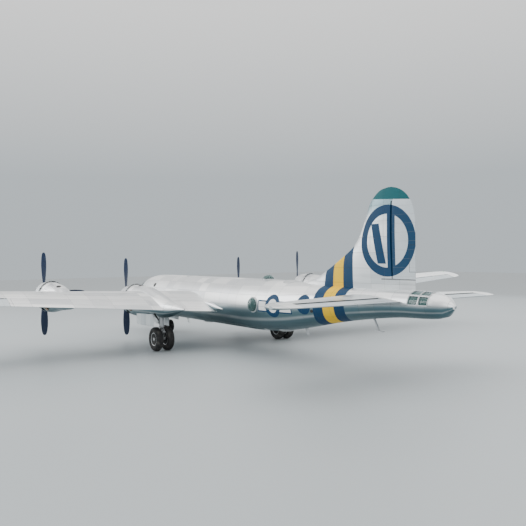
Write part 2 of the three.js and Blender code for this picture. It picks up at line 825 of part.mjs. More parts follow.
const elevatorEnds = (side) =>
  [1, 2].map((i) => {
    const [y, front, rear, half] = TAILPLANE_ROWS[i];
    const inset = i === 1 ? RUN_GAP : -RUN_GAP;
    const share = (TAILPLANE.hinge - front) / (rear - front);
    return {
      hinge: point(TAILPLANE.hinge, side * (y + inset), TAILPLANE.height),
      rear: point(rear, side * (y + inset), TAILPLANE.height),
      half: (half * fullness(share, 1)) / fullness(0.3, 1) + WING.trailingHalf,
      across: UP,
    };
  });

function stabiliser(side) {
  const ends = elevatorEnds(side);
  const nose = Math.max(...ends.map((end) => end.half)) + 2 * RUN_GAP;
  const { hinge, root, tip } = TAILPLANE;
  return largest(
    cutBy(loft(TAILPLANE_ROWS.map((row) => tailplaneRing(row, side))), [
      envelope,
      block(hinge - nose, LENGTH, side * root, side * tip, 3000, 4000),
      hingePins(ends, clearOf(TAILPLANE.pin), 60),
    ]),
  );
}

const elevator = (side) => {
  const ends = elevatorEnds(side);
  return controlSurface(ends).add(hingePins(ends, TAILPLANE.pin, 35));
};

// Wheels stand in pairs on one axle tube that turns in the leg's eye. Each tyre is a ring of flats, and
// one of the flats rests on the ground.
const WHEEL_SIDES = 24;
const flatFoot = (radius) => radius * Math.cos(Math.PI / WHEEL_SIDES);
const MAIN = { station: 12300, y: 4340, radius: 710, width: 400, spacing: 700, axle: 62, eye: 120 };
const FRONT = { station: 3950, y: 0, radius: 455, width: 270, spacing: 440, axle: 42, eye: 85 };

function wheelPair({ station, y, radius, width, spacing, axle }, side) {
  const rim = radius * 0.54;
  const wheel = [
    // radius, distance from the wheel's own middle, on the side that faces the leg
    [axle, -width * 0.25],
    [rim * 0.85, -width * 0.25],
    [rim, -width * 0.42],
    [radius * 0.87, -width * 0.5],
    [radius, -width * 0.28],
  ];
  const middle = spacing / 2;
  const inner = wheel.map(([r, h]) => [r, middle + h]);
  const outer = wheel.slice(1).map(([r, h]) => [r, middle - h]);
  const half = [...inner, ...outer.reverse(), [0, middle + width * 0.25]];
  const mirrored = half.map(([r, h]) => [r, -h]).reverse();
  const made = turned([...mirrored, ...half], WHEEL_SIDES, new THREE.Vector3(), LEFT);
  const turnToFlat = new THREE.Matrix4().makeRotationAxis(LEFT, Math.PI / WHEEL_SIDES);
  const at = point(station, side * y, flatFoot(radius));
  const placed = new THREE.Matrix4().makeTranslation(at.x, at.y, at.z).multiply(turnToFlat);
  return made.transform(placed.elements);
}

// A leg's lower end: an eye round the axle tube.
function axleEye({ station, y, radius, axle, eye, spacing, width }, side) {
  const at = point(station, side * y, flatFoot(radius));
  const half = (spacing - width) / 2 - RUN_GAP - 6;
  const reach = new THREE.Vector3(0, half, 0);
  const ends = [at.clone().sub(reach), at.clone().add(reach)];
  const through = [at.clone().addScaledVector(reach, -2), at.clone().addScaledVector(reach, 2)];
  return {
    at,
    ring: rod(...ends, eye),
    bore: rod(...through, clearOf(axle, WHEEL_SIDES), undefined, WHEEL_SIDES),
  };
}

function mainLeg(side) {
  const { at, ring, bore } = axleEye(MAIN, side);
  const y = side * MAIN.y;
  const top = MAIN_WELL.top - SEAT_GAP;
  const s = MAIN.station;
  const piston = rod(at, point(s, y, 1500), 85, undefined, 12);
  const cylinder = rod(point(s, y, 1380), point(s, y, top), 130, undefined, 12);
  const trunnion = rod(
    point(s, y - MAIN_WELL.half + 2, 2330),
    point(s, y + MAIN_WELL.half - 2, 2330),
    75,
    undefined,
    12,
  );
  const brace = rod(point(s, y, 1560), point(10550, y, top - 75), 55, 55, 10);
  const anchor = block(10400, 10660, y - 120, y + 120, top - 110, top);
  const links = [
    rod(point(s + 60, y, 1420), point(s + 330, y, 1120), 38, 34, 8),
    rod(point(s + 330, y, 1140), point(s + 40, y, 800), 38, 34, 8),
  ];
  return joined([ring, piston, cylinder, trunnion, brace, anchor, ...links]).subtract(bore);
}

// A long door that hangs open at the edge of a wheel well.
function mainDoor(side, hand) {
  const y = side * MAIN.y + hand * (MAIN_WELL.half - SEAT_GAP - 18);
  return block(MAIN_WELL.from + 40, MAIN_WELL.to - 340, y - 18, y + 18, 1420, 2140);
}

const STEER = { pin: 70, joint: 1500 };

function noseLeg() {
  const s = FRONT.station;
  const top = COCKPIT.floor - 5 - SEAT_GAP;
  const socket = rod(point(s, 0, STEER.joint - 60), point(s, 0, STEER.joint + 200), clearOf(STEER.pin));
  const housing = rod(point(s, 0, STEER.joint), point(s, 0, top), 115, undefined, 12);
  const trunnion = rod(
    point(s, -NOSE_WELL.half + 1, top - 130),
    point(s, NOSE_WELL.half - 1, top - 130),
    55,
    undefined,
    12,
  );
  const brace = rod(point(s, 0, STEER.joint + 60), point(4880, 0, top - 60), 42, 42, 10);
  const anchor = block(4780, 4980, -80, 80, top - 110, top);
  return joined([housing, trunnion, brace, anchor]).subtract(socket);
}

function noseFork() {
  const { at, ring, bore } = axleEye(FRONT, 1);
  const s = FRONT.station;
  const lower = rod(at, point(s, 0, 1100), 60, undefined, 12);
  const upper = rod(point(s, 0, 1020), point(s, 0, STEER.joint - SEAT_GAP), 92, undefined, 12);
  const pin = rod(point(s, 0, STEER.joint - 20), point(s, 0, STEER.joint + 170), STEER.pin, undefined, 12);
  const links = [
    rod(point(s + 60, 0, 1050), point(s + 250, 0, 860), 28, 26, 8),
    rod(point(s + 250, 0, 880), point(s + 30, 0, 640), 28, 26, 8),
  ];
  return joined([ring, lower, upper, pin, ...links]).subtract(bore);
}

function noseDoor(side) {
  const y = side * (NOSE_WELL.half - SEAT_GAP - 14);
  return block(NOSE_WELL.from + 40, NOSE_WELL.to - 40, y - 14, y + 14, 970, 1560);
}

// Materials

const finish = (color, roughness, metalness, more = {}) =>
  new THREE.MeshStandardMaterial({ color, roughness, metalness, ...more });
const MATERIALS = {
  bareMetal: finish(0xc4c8cb, 0.32, 0.9),
  paintedFin: finish(0xb9bdc0, 0.4, 0.8),
  fabricSilver: finish(0xb4b7b8, 0.6, 0.2),
  glass: finish(0x9fb6b4, 0.08, 0, { transparent: true, opacity: 0.4 }),
  cabinGreen: finish(0x4d5b4a, 0.7, 0),
  engineIron: finish(0x4a4c4e, 0.5, 0.6),
  bladeBlack: finish(0x1f2a2c, 0.45, 0.2),
  gearMetal: finish(0x9ea3a6, 0.4, 0.7),
  tyre: finish(0x1d1e1f, 0.85, 0),
};

const plane = new THREE.Group();
plane.scale.setScalar(MODEL_SCALE);

function add(name, solid, material) {
  const { numProp, numVert, vertProperties, triVerts } = solid.getMesh();
  const positions = new Float32Array(numVert * 3);
  for (let i = 0; i < numVert; i++) {
    positions.set(vertProperties.subarray(i * numProp, i * numProp + 3), i * 3);
  }
  const geometry = new THREE.BufferGeometry();
  geometry.setAttribute("position", new THREE.BufferAttribute(positions, 3));
  geometry.setIndex(new THREE.BufferAttribute(new Uint32Array(triVerts), 1));
  const mesh = new THREE.Mesh(geometry, material);
  mesh.name = name;
  plane.add(mesh);
}

const { bareMetal, paintedFin, fabricSilver, glass, cabinGreen } = MATERIALS;
const { engineIron, bladeBlack, gearMetal, tyre } = MATERIALS;
const SIDES = [
  ["left", 1],
  ["right", -1],
];

add("nose_frame", noseFrame(), bareMetal);
add("nose_section", noseSection(), bareMetal);
add("nose_glazing", noseGlazing(), glass);
add("cockpit_floor", cockpitFloor(), cabinGreen);
add("instrument_panel", instrumentPanel(), cabinGreen);
add("fuselage_centre", fuselageCentre(), bareMetal);
add("fuselage_rear", fuselageRear(), bareMetal);
add("entry_door", entryDoor(), bareMetal);
add("tail_section", tailSection(), bareMetal);
add("tail_glazing", tailGlazing(), glass);
add("tail_bumper", tailBumper(), gearMetal);
add("fin", fin(), paintedFin);
add("rudder", rudder(), fabricSilver);
add("nose_leg", noseLeg(), gearMetal);
add("nose_fork", noseFork(), gearMetal);
add("nose_wheels", wheelPair(FRONT, 1), tyre);
for (const [name, dome] of Object.entries(DOMES)) add(`dome_${name}`, domeShell(dome), glass);
for (const unit of ENGINES) {
  add(`nacelle_${unit.name}`, nacelle(unit), bareMetal);
  add(`engine_${unit.name}`, engine(unit), engineIron);
  add(`propeller_${unit.name}`, propeller(unit), bladeBlack);
}
for (const [name, side] of SIDES) {
  add(`seat_${name}`, seat(side), cabinGreen);
  add(`wing_${name}`, wing(side), bareMetal);
  add(`aileron_${name}`, aileron(side), fabricSilver);
  for (const [place, reach] of Object.entries(FLAPS)) {
    add(`flap_${place}_${name}`, flap(reach, side), bareMetal);
  }
  for (const [place, reach] of Object.entries(BAYS)) {
    add(`bay_door_${place}_${name}`, bayDoor(reach, side), bareMetal);
  }
  add(`stabiliser_${name}`, stabiliser(side), bareMetal);
  add(`elevator_${name}`, elevator(side), fabricSilver);
  add(`main_leg_${name}`, mainLeg(side), gearMetal);
  add(`main_wheels_${name}`, wheelPair(MAIN, side), tyre);
  add(`main_door_${name}_outer`, mainDoor(side, side), bareMetal);
  add(`main_door_${name}_inner`, mainDoor(side, -side), bareMetal);
  add(`nose_door_${name}`, noseDoor(side), bareMetal);
}

export default plane;
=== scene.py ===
"""Looks of a half-size four-engine transport plane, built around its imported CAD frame.

Places and sizes are the real aircraft's, in metres: a station is a distance aft of the nose tip, y is
to the aircraft's left, z is up from the ground. Shape.build() turns them into the model's own metres.
"""

import json
from collections import namedtuple
from functools import partial, reduce
from math import acos, cos, hypot, pi, radians, sin, sqrt

import bmesh
import bpy
from mathutils import Matrix, Vector


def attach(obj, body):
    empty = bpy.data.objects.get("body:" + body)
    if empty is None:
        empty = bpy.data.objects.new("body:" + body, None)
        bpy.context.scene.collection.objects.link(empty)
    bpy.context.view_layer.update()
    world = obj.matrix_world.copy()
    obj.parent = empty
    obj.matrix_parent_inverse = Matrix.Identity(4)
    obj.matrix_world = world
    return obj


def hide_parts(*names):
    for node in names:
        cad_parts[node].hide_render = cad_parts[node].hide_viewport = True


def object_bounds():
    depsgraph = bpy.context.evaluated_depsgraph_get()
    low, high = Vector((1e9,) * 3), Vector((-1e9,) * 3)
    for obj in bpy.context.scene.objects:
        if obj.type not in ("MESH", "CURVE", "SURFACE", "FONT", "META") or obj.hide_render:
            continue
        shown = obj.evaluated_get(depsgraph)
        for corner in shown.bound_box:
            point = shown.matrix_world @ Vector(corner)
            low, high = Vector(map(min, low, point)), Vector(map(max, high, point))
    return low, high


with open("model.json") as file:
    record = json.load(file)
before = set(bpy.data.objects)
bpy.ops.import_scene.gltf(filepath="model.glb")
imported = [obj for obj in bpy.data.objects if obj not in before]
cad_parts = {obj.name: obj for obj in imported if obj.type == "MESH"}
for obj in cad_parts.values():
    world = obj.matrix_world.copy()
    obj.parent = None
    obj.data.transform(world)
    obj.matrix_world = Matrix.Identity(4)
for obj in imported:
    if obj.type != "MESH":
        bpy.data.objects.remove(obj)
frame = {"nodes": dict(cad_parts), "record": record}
CAD_BOX = [list(corner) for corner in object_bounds()]

SCALE = 0.5  # model metres per real metre
NOSE = CAD_BOX[1][0]
SIDES = (("left", 1), ("right", -1))
HANDS = (-1, 1)


def mix(a, b, t):
    return a + (b - a) * t


def table_at(rows, key, column):
    """The value of a column at a key, from a table whose first column rises."""
    for low, high in zip(rows, rows[1:]):
        if key <= high[0]:
            t = max(0.0, (key - low[0]) / (high[0] - low[0]))
            return mix(low[column], high[column], t)
    return rows[-1][column]


# Camera, lights and floor

CAMERA = {"place": (-15.873, 10.144, 2.745), "yaw": -33.866, "pitch": -0.618, "roll": -0.591}
FOCAL_PIXELS = 639.94
PHOTO_PIXELS = 526
SENSOR = 36.0


def add_camera():
    yaw, pitch, roll = (radians(CAMERA[key]) for key in ("yaw", "pitch", "roll"))
    ahead = Vector((cos(yaw) * cos(pitch), sin(yaw) * cos(pitch), sin(pitch)))
    level = Vector((sin(yaw), -cos(yaw), 0))
    upright = level.cross(ahead)
    right = level * cos(roll) + upright * sin(roll)
    up = upright * cos(roll) - level * sin(roll)
    data = bpy.data.cameras.new("photo_camera")
    data.sensor_width = SENSOR
    data.lens = FOCAL_PIXELS / PHOTO_PIXELS * SENSOR
    data.clip_end = 500
    camera = bpy.data.objects.new("photo_camera", data)
    turn = Matrix((right, up, -ahead)).transposed()
    camera.matrix_world = Matrix.Translation(CAMERA["place"]) @ turn.to_4x4()
    bpy.context.scene.collection.objects.link(camera)
    bpy.context.scene.camera = camera


LIGHTS = (
    # name, place, aims at, size, power, colour
    ("roof_light", (-2, 1, 22), (-1, 0, 1), 34, 4200, (1.0, 0.99, 0.97)),
    ("left_light", (17, 17, 10), (-2, 0, 1.5), 16, 3200, (0.98, 0.99, 1.0)),
    ("right_light", (8, -24, 11), (0, 0, 1.5), 16, 900, (0.95, 0.98, 1.0)),
    ("rear_light", (-24, 16, 10), (-4, 0, 1.5), 16, 1600, (0.98, 0.99, 1.0)),
)
SKY = {
    "strength": 1.15,
    # share of the way up, colour
    "stops": (
        (0.0, (0.50, 0.55, 0.58)), (0.12, (0.52, 0.57, 0.60)),
        (0.36, (0.97, 0.98, 0.98)), (1.0, (1.0, 1.0, 1.0)),
    ),
}


def set_stops(ramp, stops):
    elements = ramp.color_ramp.elements
    while len(elements) < len(stops):
        elements.new(0.5)
    for element, (position, colour) in zip(elements, stops):
        element.position = position
        element.color = (*colour, 1)


def add_lights():
    for name, place, aim, size, power, colour in LIGHTS:
        data = bpy.data.lights.new(name, "AREA")
        data.shape = "SQUARE"
        data.size = size
        data.energy = power
        data.color = colour
        lamp = bpy.data.objects.new(name, data)
        lamp.location = place
        lamp.rotation_euler = (Vector(aim) - Vector(place)).to_track_quat("-Z", "Y").to_euler()
        bpy.context.scene.collection.objects.link(lamp)
    world = bpy.data.worlds.new("studio")
    world.use_nodes = True
    tree = world.node_tree
    back = tree.nodes["Background"]
    place = tree.nodes.new("ShaderNodeTexCoord")
    split = tree.nodes.new("ShaderNodeSeparateXYZ")
    ramp = tree.nodes.new("ShaderNodeValToRGB")
    tree.links.new(place.outputs["Generated"], split.inputs[0])
    tree.links.new(split.outputs["Z"], ramp.inputs[0])
    tree.links.new(ramp.outputs[0], back.inputs["Color"])
    set_stops(ramp, SKY["stops"])
    back.inputs["Strength"].default_value = SKY["strength"]
    bpy.context.scene.world = world


# Shader networks

SOCKETS = {
    "color": "Base Color", "rough": "Roughness", "metal": "Metallic", "alpha": "Alpha",
    "coat": "Coat Weight", "ior": "IOR", "specular": "Specular IOR Level",
}
JOINT_HALF = 0.007
RIVET_ROW = 0.03
RIVET_RADIUS = 0.008
RIVET_PITCH = 0.05
RIVET_SHARE = 0.4  # of the pitch
JOINT_SWAY = {"pace": 2.1, "share": 0.24}  # keeps the sheets' joints from lining up


class Value:
    """A number or colour that varies over a surface. Arithmetic on it adds nodes to its network."""

    def __init__(self, net, socket):
        self.net = net
        self.socket = socket

    def __add__(self, other):
        return self.net.math("ADD", self, other)

    def __sub__(self, other):
        return self.net.math("SUBTRACT", self, other)

    def __rsub__(self, other):
        return self.net.math("SUBTRACT", other, self)

    def __mul__(self, other):
        return self.net.math("MULTIPLY", self, other)

    def __truediv__(self, other):
        return self.net.math("DIVIDE", self, other)

    def __gt__(self, other):
        return self.net.math("GREATER_THAN", self, other)

    def __lt__(self, other):
        return self.net.math("LESS_THAN", self, other)

    def __abs__(self):
        return self.net.math("ABSOLUTE", self)


class Net:
    """Writes one material as a network of nodes. Every size in it is in the real aircraft's metres. A mask
    is 1 inside a mark and 0 outside it."""

    def __init__(self, name):
        self.material = bpy.data.materials.new(name)
        self.material.use_nodes = True
        self.tree = self.material.node_tree
        self.tree.nodes.clear()
        output = self.tree.nodes.new("ShaderNodeOutputMaterial")
        self.shader = self.tree.nodes.new("ShaderNodeBsdfPrincipled")
        self.tree.links.new(self.shader.outputs[0], output.inputs["Surface"])
        coordinates = self.tree.nodes.new("ShaderNodeTexCoord").outputs
        self.place = Value(self, coordinates["Object"])
        split = self.add("ShaderNodeSeparateXYZ", self.place)
        x, y, z = (Value(self, socket) for socket in split.outputs)
        self.facing_up = self.node("ShaderNodeSeparateXYZ", Value(self, coordinates["Normal"]), output=2)
        self.station = (NOSE - x) / SCALE
        self.across = abs(y) / SCALE
        self.height = z / SCALE

    def put(self, socket, value):
        if isinstance(value, Value):
            self.tree.links.new(value.socket, socket)
        elif socket.type == "RGBA" and len(value) == 3:
            socket.default_value = (*value, 1)
        else:
            socket.default_value = value

    def add(self, kind, *inputs, places=None, **options):
        """A new node. Its inputs go to its first sockets, or to the ones that places names."""
        made = self.tree.nodes.new(kind)
        for key, value in options.items():
            setattr(made, key, value)
        for place, value in zip(places or range(len(inputs)), inputs):
            self.put(made.inputs[place], value)
        return made

    def node(self, kind, *inputs, output=0, **options):
        return Value(self, self.add(kind, *inputs, **options).outputs[output])

    def math(self, operation, *values):
        return self.node("ShaderNodeMath", *values, operation=operation)

    def vector(self, *parts):
        return self.node("ShaderNodeCombineXYZ", *parts)

    def blend(self, share, first, second):
        """A mix of two colours."""
        return self.node("ShaderNodeMix", share, first, second, places=(0, 6, 7), output=2, data_type="RGBA")

    def number(self, share, first, second):
        """A mix of two numbers."""
        return self.node("ShaderNodeMix", share, first, second, places=(0, 2, 3), data_type="FLOAT")

    def noise(self, scale, detail=2.0, vector=None):
        inputs = (vector or self.place, scale, detail)
        return self.node("ShaderNodeTexNoise", *inputs, places=("Vector", "Scale", "Detail"), output="Fac")

    def steep(self, value, low, high):
        """0 below low, 1 above high, smooth between them."""
        return self.node("ShaderNodeMapRange", value, low, high, interpolation_type="SMOOTHSTEP")

    def within(self, value, low, high):
        return (value > low) * (value < high)

    def either(self, *masks):
        return reduce(lambda most, mask: self.math("MAXIMUM", most, mask), masks)

    def distance(self, a, a0, b, b0):
        """Distance of the point (a, b) from the point (a0, b0)."""
        return self.math("SQRT", self.math("POWER", a - a0, 2) + self.math("POWER", b - b0, 2))

    def profile(self, value, rows, column):
        """A column of a table, read by a value that runs along its first column."""
        low, high = rows[0][0], rows[-1][0]
        most = max(row[column] for row in rows)
        ramp = self.add("ShaderNodeValToRGB", (value - low) / (high - low))
        set_stops(ramp, [((row[0] - low) / (high - low), [row[column] / most] * 3) for row in rows])
        return Value(self, ramp.outputs[0]) * most

    def panels(self, u, v, length, width):
        """Sheets of skin: a random tint for each, their joints, and the rivets beside the joints."""
        sway = self.math("SINE", u * (JOINT_SWAY["pace"] / length)) * JOINT_SWAY["share"]
        cell_u, cell_v = u / length + sway, v / width
        corner = self.vector(self.math("FLOOR", cell_u), self.math("FLOOR", cell_v), 0.0)
        tint = self.node("ShaderNodeTexWhiteNoise", corner, output="Value", noise_dimensions="2D")
        joints, rivets = [], []
        for cell, size, along in ((cell_u, length, v), (cell_v, width, u)):
            gap = (0.5 - abs(self.math("FRACT", cell) - 0.5)) * size
            joints.append(gap < JOINT_HALF)
            row = self.within(gap, RIVET_ROW - RIVET_RADIUS, RIVET_ROW + RIVET_RADIUS)
            rivets.append(row * (self.math("FRACT", along / RIVET_PITCH) < RIVET_SHARE))
        return tint, self.either(*joints), self.either(*rivets)

    def bump(self, height, depth, strength=1.0):
        inputs = (strength, depth, height)
        normal = self.node("ShaderNodeBump", *inputs, places=("Strength", "Distance", "Height"))
        self.put(self.shader.inputs["Normal"], normal)

    def set(self, **values):
        for key, value in values.items():
            self.put(self.shader.inputs[SOCKETS[key]], value)


# Colours
NAVY = (0.003, 0.04, 0.1)
YELLOW = (0.84, 0.52, 0.02)
WHITE = (0.82, 0.83, 0.83)
CAP_GREEN = (0.0, 0.095, 0.11)
CHROMATE = (0.16, 0.2, 0.09)
WORN_CHROMATE = (0.24, 0.28, 0.15)
# Dark of the skin's joints, also the painted shade in the tail's hinge gaps
JOINT_SHADE = (0.02, 0.03, 0.035)
DIRT = (0.2, 0.21, 0.2)
# Painted dark teal shade for faces turned down
PAINTED_UNDER_SHADE = (0.045, 0.125, 0.155)
CLOUD = (0.86, 0.86, 0.85)
BARE_EDGE = (0.6, 0.6, 0.58)
METAL_TINTS = ((0.68, 0.7, 0.72), (0.93, 0.93, 0.92))
FIN_TINTS = ((0.72, 0.74, 0.76), (0.93, 0.93, 0.93))
TAIL_TINTS = ((0.62, 0.65, 0.66), (0.86, 0.87, 0.86))
FABRIC_TINTS = ((0.46, 0.525, 0.565), (0.7, 0.735, 0.755))
PAINT_GLOSS = 0.2

# How far a face has turned down where its painted shade starts and where that painted shade is darkest
UNDER_NACELLE, UNDER_WING, UNDER_BODY = (0.12, -0.3), (0.2, -0.3), (0.24, -0.28)

# The fuselage's outline: station, radius, height of its centre
BODY = (
    (4.0, 1.45, 2.75), (15.5, 1.45, 2.75), (16.5, 1.45, 2.75), (18.2, 1.395, 2.79), (19.9, 1.26, 2.865),
    (21.6, 1.07, 2.985), (23.3, 0.88, 3.13), (25.2, 0.72, 3.26), (27.2, 0.6, 3.37), (29.2, 0.545, 3.4),
    (29.85, 0.4, 3.4), (30.05, 0.27, 3.4), (30.14, 0.16, 3.4), (30.18, 0.05, 3.4),
)
LINING = {"depth": 0.035, "from": 4.0, "to": 29.75}  # inside this the walls are green

# Painted marks
BANDS = (22.35, 23.0, 23.73, 24.4)  # edges of the dark, yellow and dark band
BAND_SWEEP = {"from": 3.0, "to": 2.0, "ahead": 0.14}  # how the bands bend ahead under the body
ROUNDEL = {"station": 19.38, "height": 2.88, "outer": 0.6, "inner": 0.36}
SIDE_BARS = {"from": 18.2, "to": 20.76, "low": 2.6, "high": 3.08, "edge": 0.07}
SIDE_DISC = {"station": 21.7, "height": 3.07, "outer": 0.49, "inner": 0.18}
RING = {"station": 26.55, "height": 6.11, "outer": 1.58, "inner": 1.18}
RING_BARS = (
    # from, to, low, high, lean ahead per metre up
    (25.78, 26.27, 5.1, 6.88, 0.22), (26.58, 27.03, 4.9, 7.32, 0.0),
)
CAP = {"height": 8.01, "station": 25.4, "fall": 0.067}
FOOT_LINE = {"from": 26.2, "low": 4.39, "high": 4.45, "share": 0.7}
# Painted darker, bluish reflection towards the fin's top: where it starts and is full, its share and colour
TOP_REFLECTION = {"low": 6.9, "high": 7.75, "share": 0.85, "colour": (0.15, 0.27, 0.31)}
# Painted shade in the elevators' hinge gap: on the stabiliser's rear face and on the elevator's nose
ELEVATOR_GAP = {"from": 26.73, "root": 0.87, "tip": 5.44}
ELEVATOR_NOSE = {"from": 26.6, "to": 27.02, "soft": 0.02, "share": 0.8}

# The wheel wells in the inner nacelles
WELL = {"from": 9.8, "to": 12.6, "y": 4.34, "half": 0.52, "low": 0.5, "top": 2.56}
WELL_MARGIN = 0.001

# A mark takes the colour and the share of paint that are there, and gives them back with its own on top


def bands(net, color, paint):
    """The three broad bands round the rear of the fuselage and up the fin."""
    sweep = net.steep(net.height, BAND_SWEEP["from"], BAND_SWEEP["to"]) * BAND_SWEEP["ahead"]
    along = net.station + sweep
    dark = net.either(net.within(along, *BANDS[:2]), net.within(along, *BANDS[2:]))
    yellow = net.within(along, *BANDS[1:3])
    color = net.blend(yellow, net.blend(dark, color, NAVY), YELLOW)
    return color, net.either(paint, dark, yellow)


def roundel(net, color, paint):
    """A plain disc on a disc between two plain bars, and a smaller disc behind them."""
    bars, masks = SIDE_BARS, []
    for grow, tone in ((bars["edge"], NAVY), (0.0, WHITE)):
        along = net.within(net.station, bars["from"] - grow, bars["to"] + grow)
        masks.append((along * net.within(net.height, bars["low"] - grow, bars["high"] + grow), tone))
    for disc in (ROUNDEL, SIDE_DISC):
        away = net.distance(net.station, disc["station"], net.height, disc["height"])
        masks += [(away < disc["outer"], NAVY), (away < disc["inner"], WHITE)]
    for mask, tone in masks:
        color = net.blend(mask, color, tone)
        paint = net.either(paint, mask)
    return color, paint


def ring_mark(net, color, paint):
    """A ring on the fin and rudder with two plain upright bars in it, and the cap above."""
    away = net.distance(net.station, RING["station"], net.height, RING["height"])
    masks = [net.within(away, RING["inner"], RING["outer"])]
    for start, end, low, high, lean in RING_BARS:
        along = net.station + (net.height - RING["height"]) * lean
        masks.append(net.within(along, start, end) * net.within(net.height, low, high))
    ring = net.either(*masks)
    cap = net.height + (net.station - CAP["station"]) * CAP["fall"] > CAP["height"]
    color = net.blend(cap, net.blend(ring, color, NAVY), CAP_GREEN)
    return color, net.either(paint, ring, cap)


def foot_line(net, color, paint):
    """The dark joint under the rudder."""
    line = (net.station > FOOT_LINE["from"]) * net.within(net.height, FOOT_LINE["low"], FOOT_LINE["high"])
    return net.blend(line * FOOT_LINE["share"], color, JOINT_SHADE), net.either(paint, line)


def painted_top_reflection(net, color, paint):
    """A painted darker, bluish reflection on the metal above the ring."""
    share = net.steep(net.height, TOP_REFLECTION["low"], TOP_REFLECTION["high"]) * TOP_REFLECTION["share"]
    return net.blend(share, color, TOP_REFLECTION["colour"]), paint


def gap_shade(net, color, paint):
    """Painted shade on the stabiliser's rear face, ahead of the elevator's nose."""
    span = net.within(net.across, ELEVATOR_GAP["root"], ELEVATOR_GAP["tip"])
    shade = (net.station > ELEVATOR_GAP["from"]) * span
    return net.blend(shade, color, JOINT_SHADE), net.either(paint, shade)


def nose_shade(net, color, paint):
    """The elevator's nose, in the shade of its hinge gap."""
    nose = ELEVATOR_NOSE
    half = (nose["to"] - nose["from"]) / 2
    off = abs(net.station - (nose["from"] + nose["to"]) / 2)
    shade = net.steep(off, half + nose["soft"], half - nose["soft"])
    return net.blend(shade * nose["share"], color, JOINT_SHADE), paint


def metal_skin(net, u, v, sheet, low_share, marks=(), inside=None, tints=METAL_TINTS, shine=0.9,
               under=UNDER_NACELLE):
    """Bare, worn aluminium in sheets of a length and width. low_share rises from 0 to 1 where dirt gathers,
    and inside is a mask of the walls that are painted green. Faces turned down take a painted dark teal
    shade, crossed by a lighter painted reflection streak; under gives the turns where that painted shade
    starts and where it is darkest."""
    tint, joint, rivet = net.panels(u, v, *sheet)
    cloud = net.noise(1.3, 5.0)
    streak = net.noise(1.0, 4.0, net.vector(u * 0.35, v * 3.0, 0.0))
    dirt = net.node("ShaderNodeClamp", net.steep(streak, 0.42, 0.78) * low_share) * 0.6
    color = net.blend(tint, *tints)
    color = net.blend(net.steep(cloud, 0.35, 0.7) * 0.25, color, CLOUD)
    color = net.blend(dirt, color, DIRT)
    # Painted shade on faces turned down, crossed by a lighter painted reflection streak
    painted_reflection_streak = net.steep(abs(net.facing_up + 0.5), 0.11, 0.0)
    dark = net.steep(net.facing_up, *under) * (0.92 - painted_reflection_streak * 0.35)
    color = net.blend(dark, color, PAINTED_UNDER_SHADE)
    paint = 0.0
    for mark in marks:
        color, paint = mark(net, color, paint)
    color = net.blend(joint * 0.45, color, JOINT_SHADE)
    rough = net.number(net.either(paint, dirt), net.number(tint, 0.24, 0.4) + cloud * 0.1, 0.5)
    metallic = (1.0 - paint) * shine
    if inside is not None:
        color = net.blend(inside, color, net.blend(cloud, CHROMATE, WORN_CHROMATE))
        rough = net.number(inside, rough, 0.62)
        metallic = (1.0 - inside) * metallic
    net.set(color=color, rough=rough, metal=metallic, specular=PAINT_GLOSS)
    net.bump(net.noise(4.0, 1.0) * 0.5 - joint + rivet * 0.35, 0.003, 0.6)
    return net.material


def body_material():
    net = Net("bare_metal_body")
    radius = net.profile(net.station, BODY, 1)
    rise = net.height - net.profile(net.station, BODY, 2)
    around = net.math("ARCTAN2", rise, net.across) * radius
    deep = net.distance(net.across, 0.0, rise, 0.0) < radius - LINING["depth"]
    inside = net.within(net.station, LINING["from"], LINING["to"]) * deep
    low = net.steep(rise, 0.2, -1.3)
    marks = (bands, roundel)
    return metal_skin(net, net.station, around, (1.25, 0.62), low, marks, inside, under=UNDER_BODY)


def wing_material():
    net = Net("bare_metal_wing")
    low = net.noise(0.6, 3.0) * 0.8
    return metal_skin(net, net.across, net.station, (1.45, 0.66), low, under=UNDER_WING)


def nacelle_material(name, y, thrust, has_well):
    net = Net(name)
    aside = net.across - y
    rise = net.height - thrust
    around = net.math("ARCTAN2", rise, aside) * 0.78
    inside = None
    if has_well:
        along = net.within(net.station, WELL["from"] - WELL_MARGIN, WELL["to"] + WELL_MARGIN)
        aside = abs(aside) < WELL["half"] + WELL_MARGIN
        inside = along * aside * (net.height < WELL["top"] + WELL_MARGIN)
    return metal_skin(net, net.station, around, (0.95, 0.55), net.steep(rise, 0.3, -0.9), (), inside)


def fin_material():
    net = Net("silver_fin")
    marks = (painted_top_reflection, bands, ring_mark, foot_line)
    low = net.noise(0.9, 4.0) * 0.9
    return metal_skin(net, net.station, net.height, (1.1, 0.7), low, marks, None, FIN_TINTS, 0.55)


def tail_material():
    net = Net("bare_metal_tailplane")
    low = net.noise(0.9, 4.0) * 0.7
    marks, sheet = (gap_shade,), (0.9, 0.6)
    return metal_skin(net, net.across, net.station, sheet, low, marks, None, TAIL_TINTS, 0.7, UNDER_WING)


RIB_PITCH = 0.38
TAB_LINE = 0.012


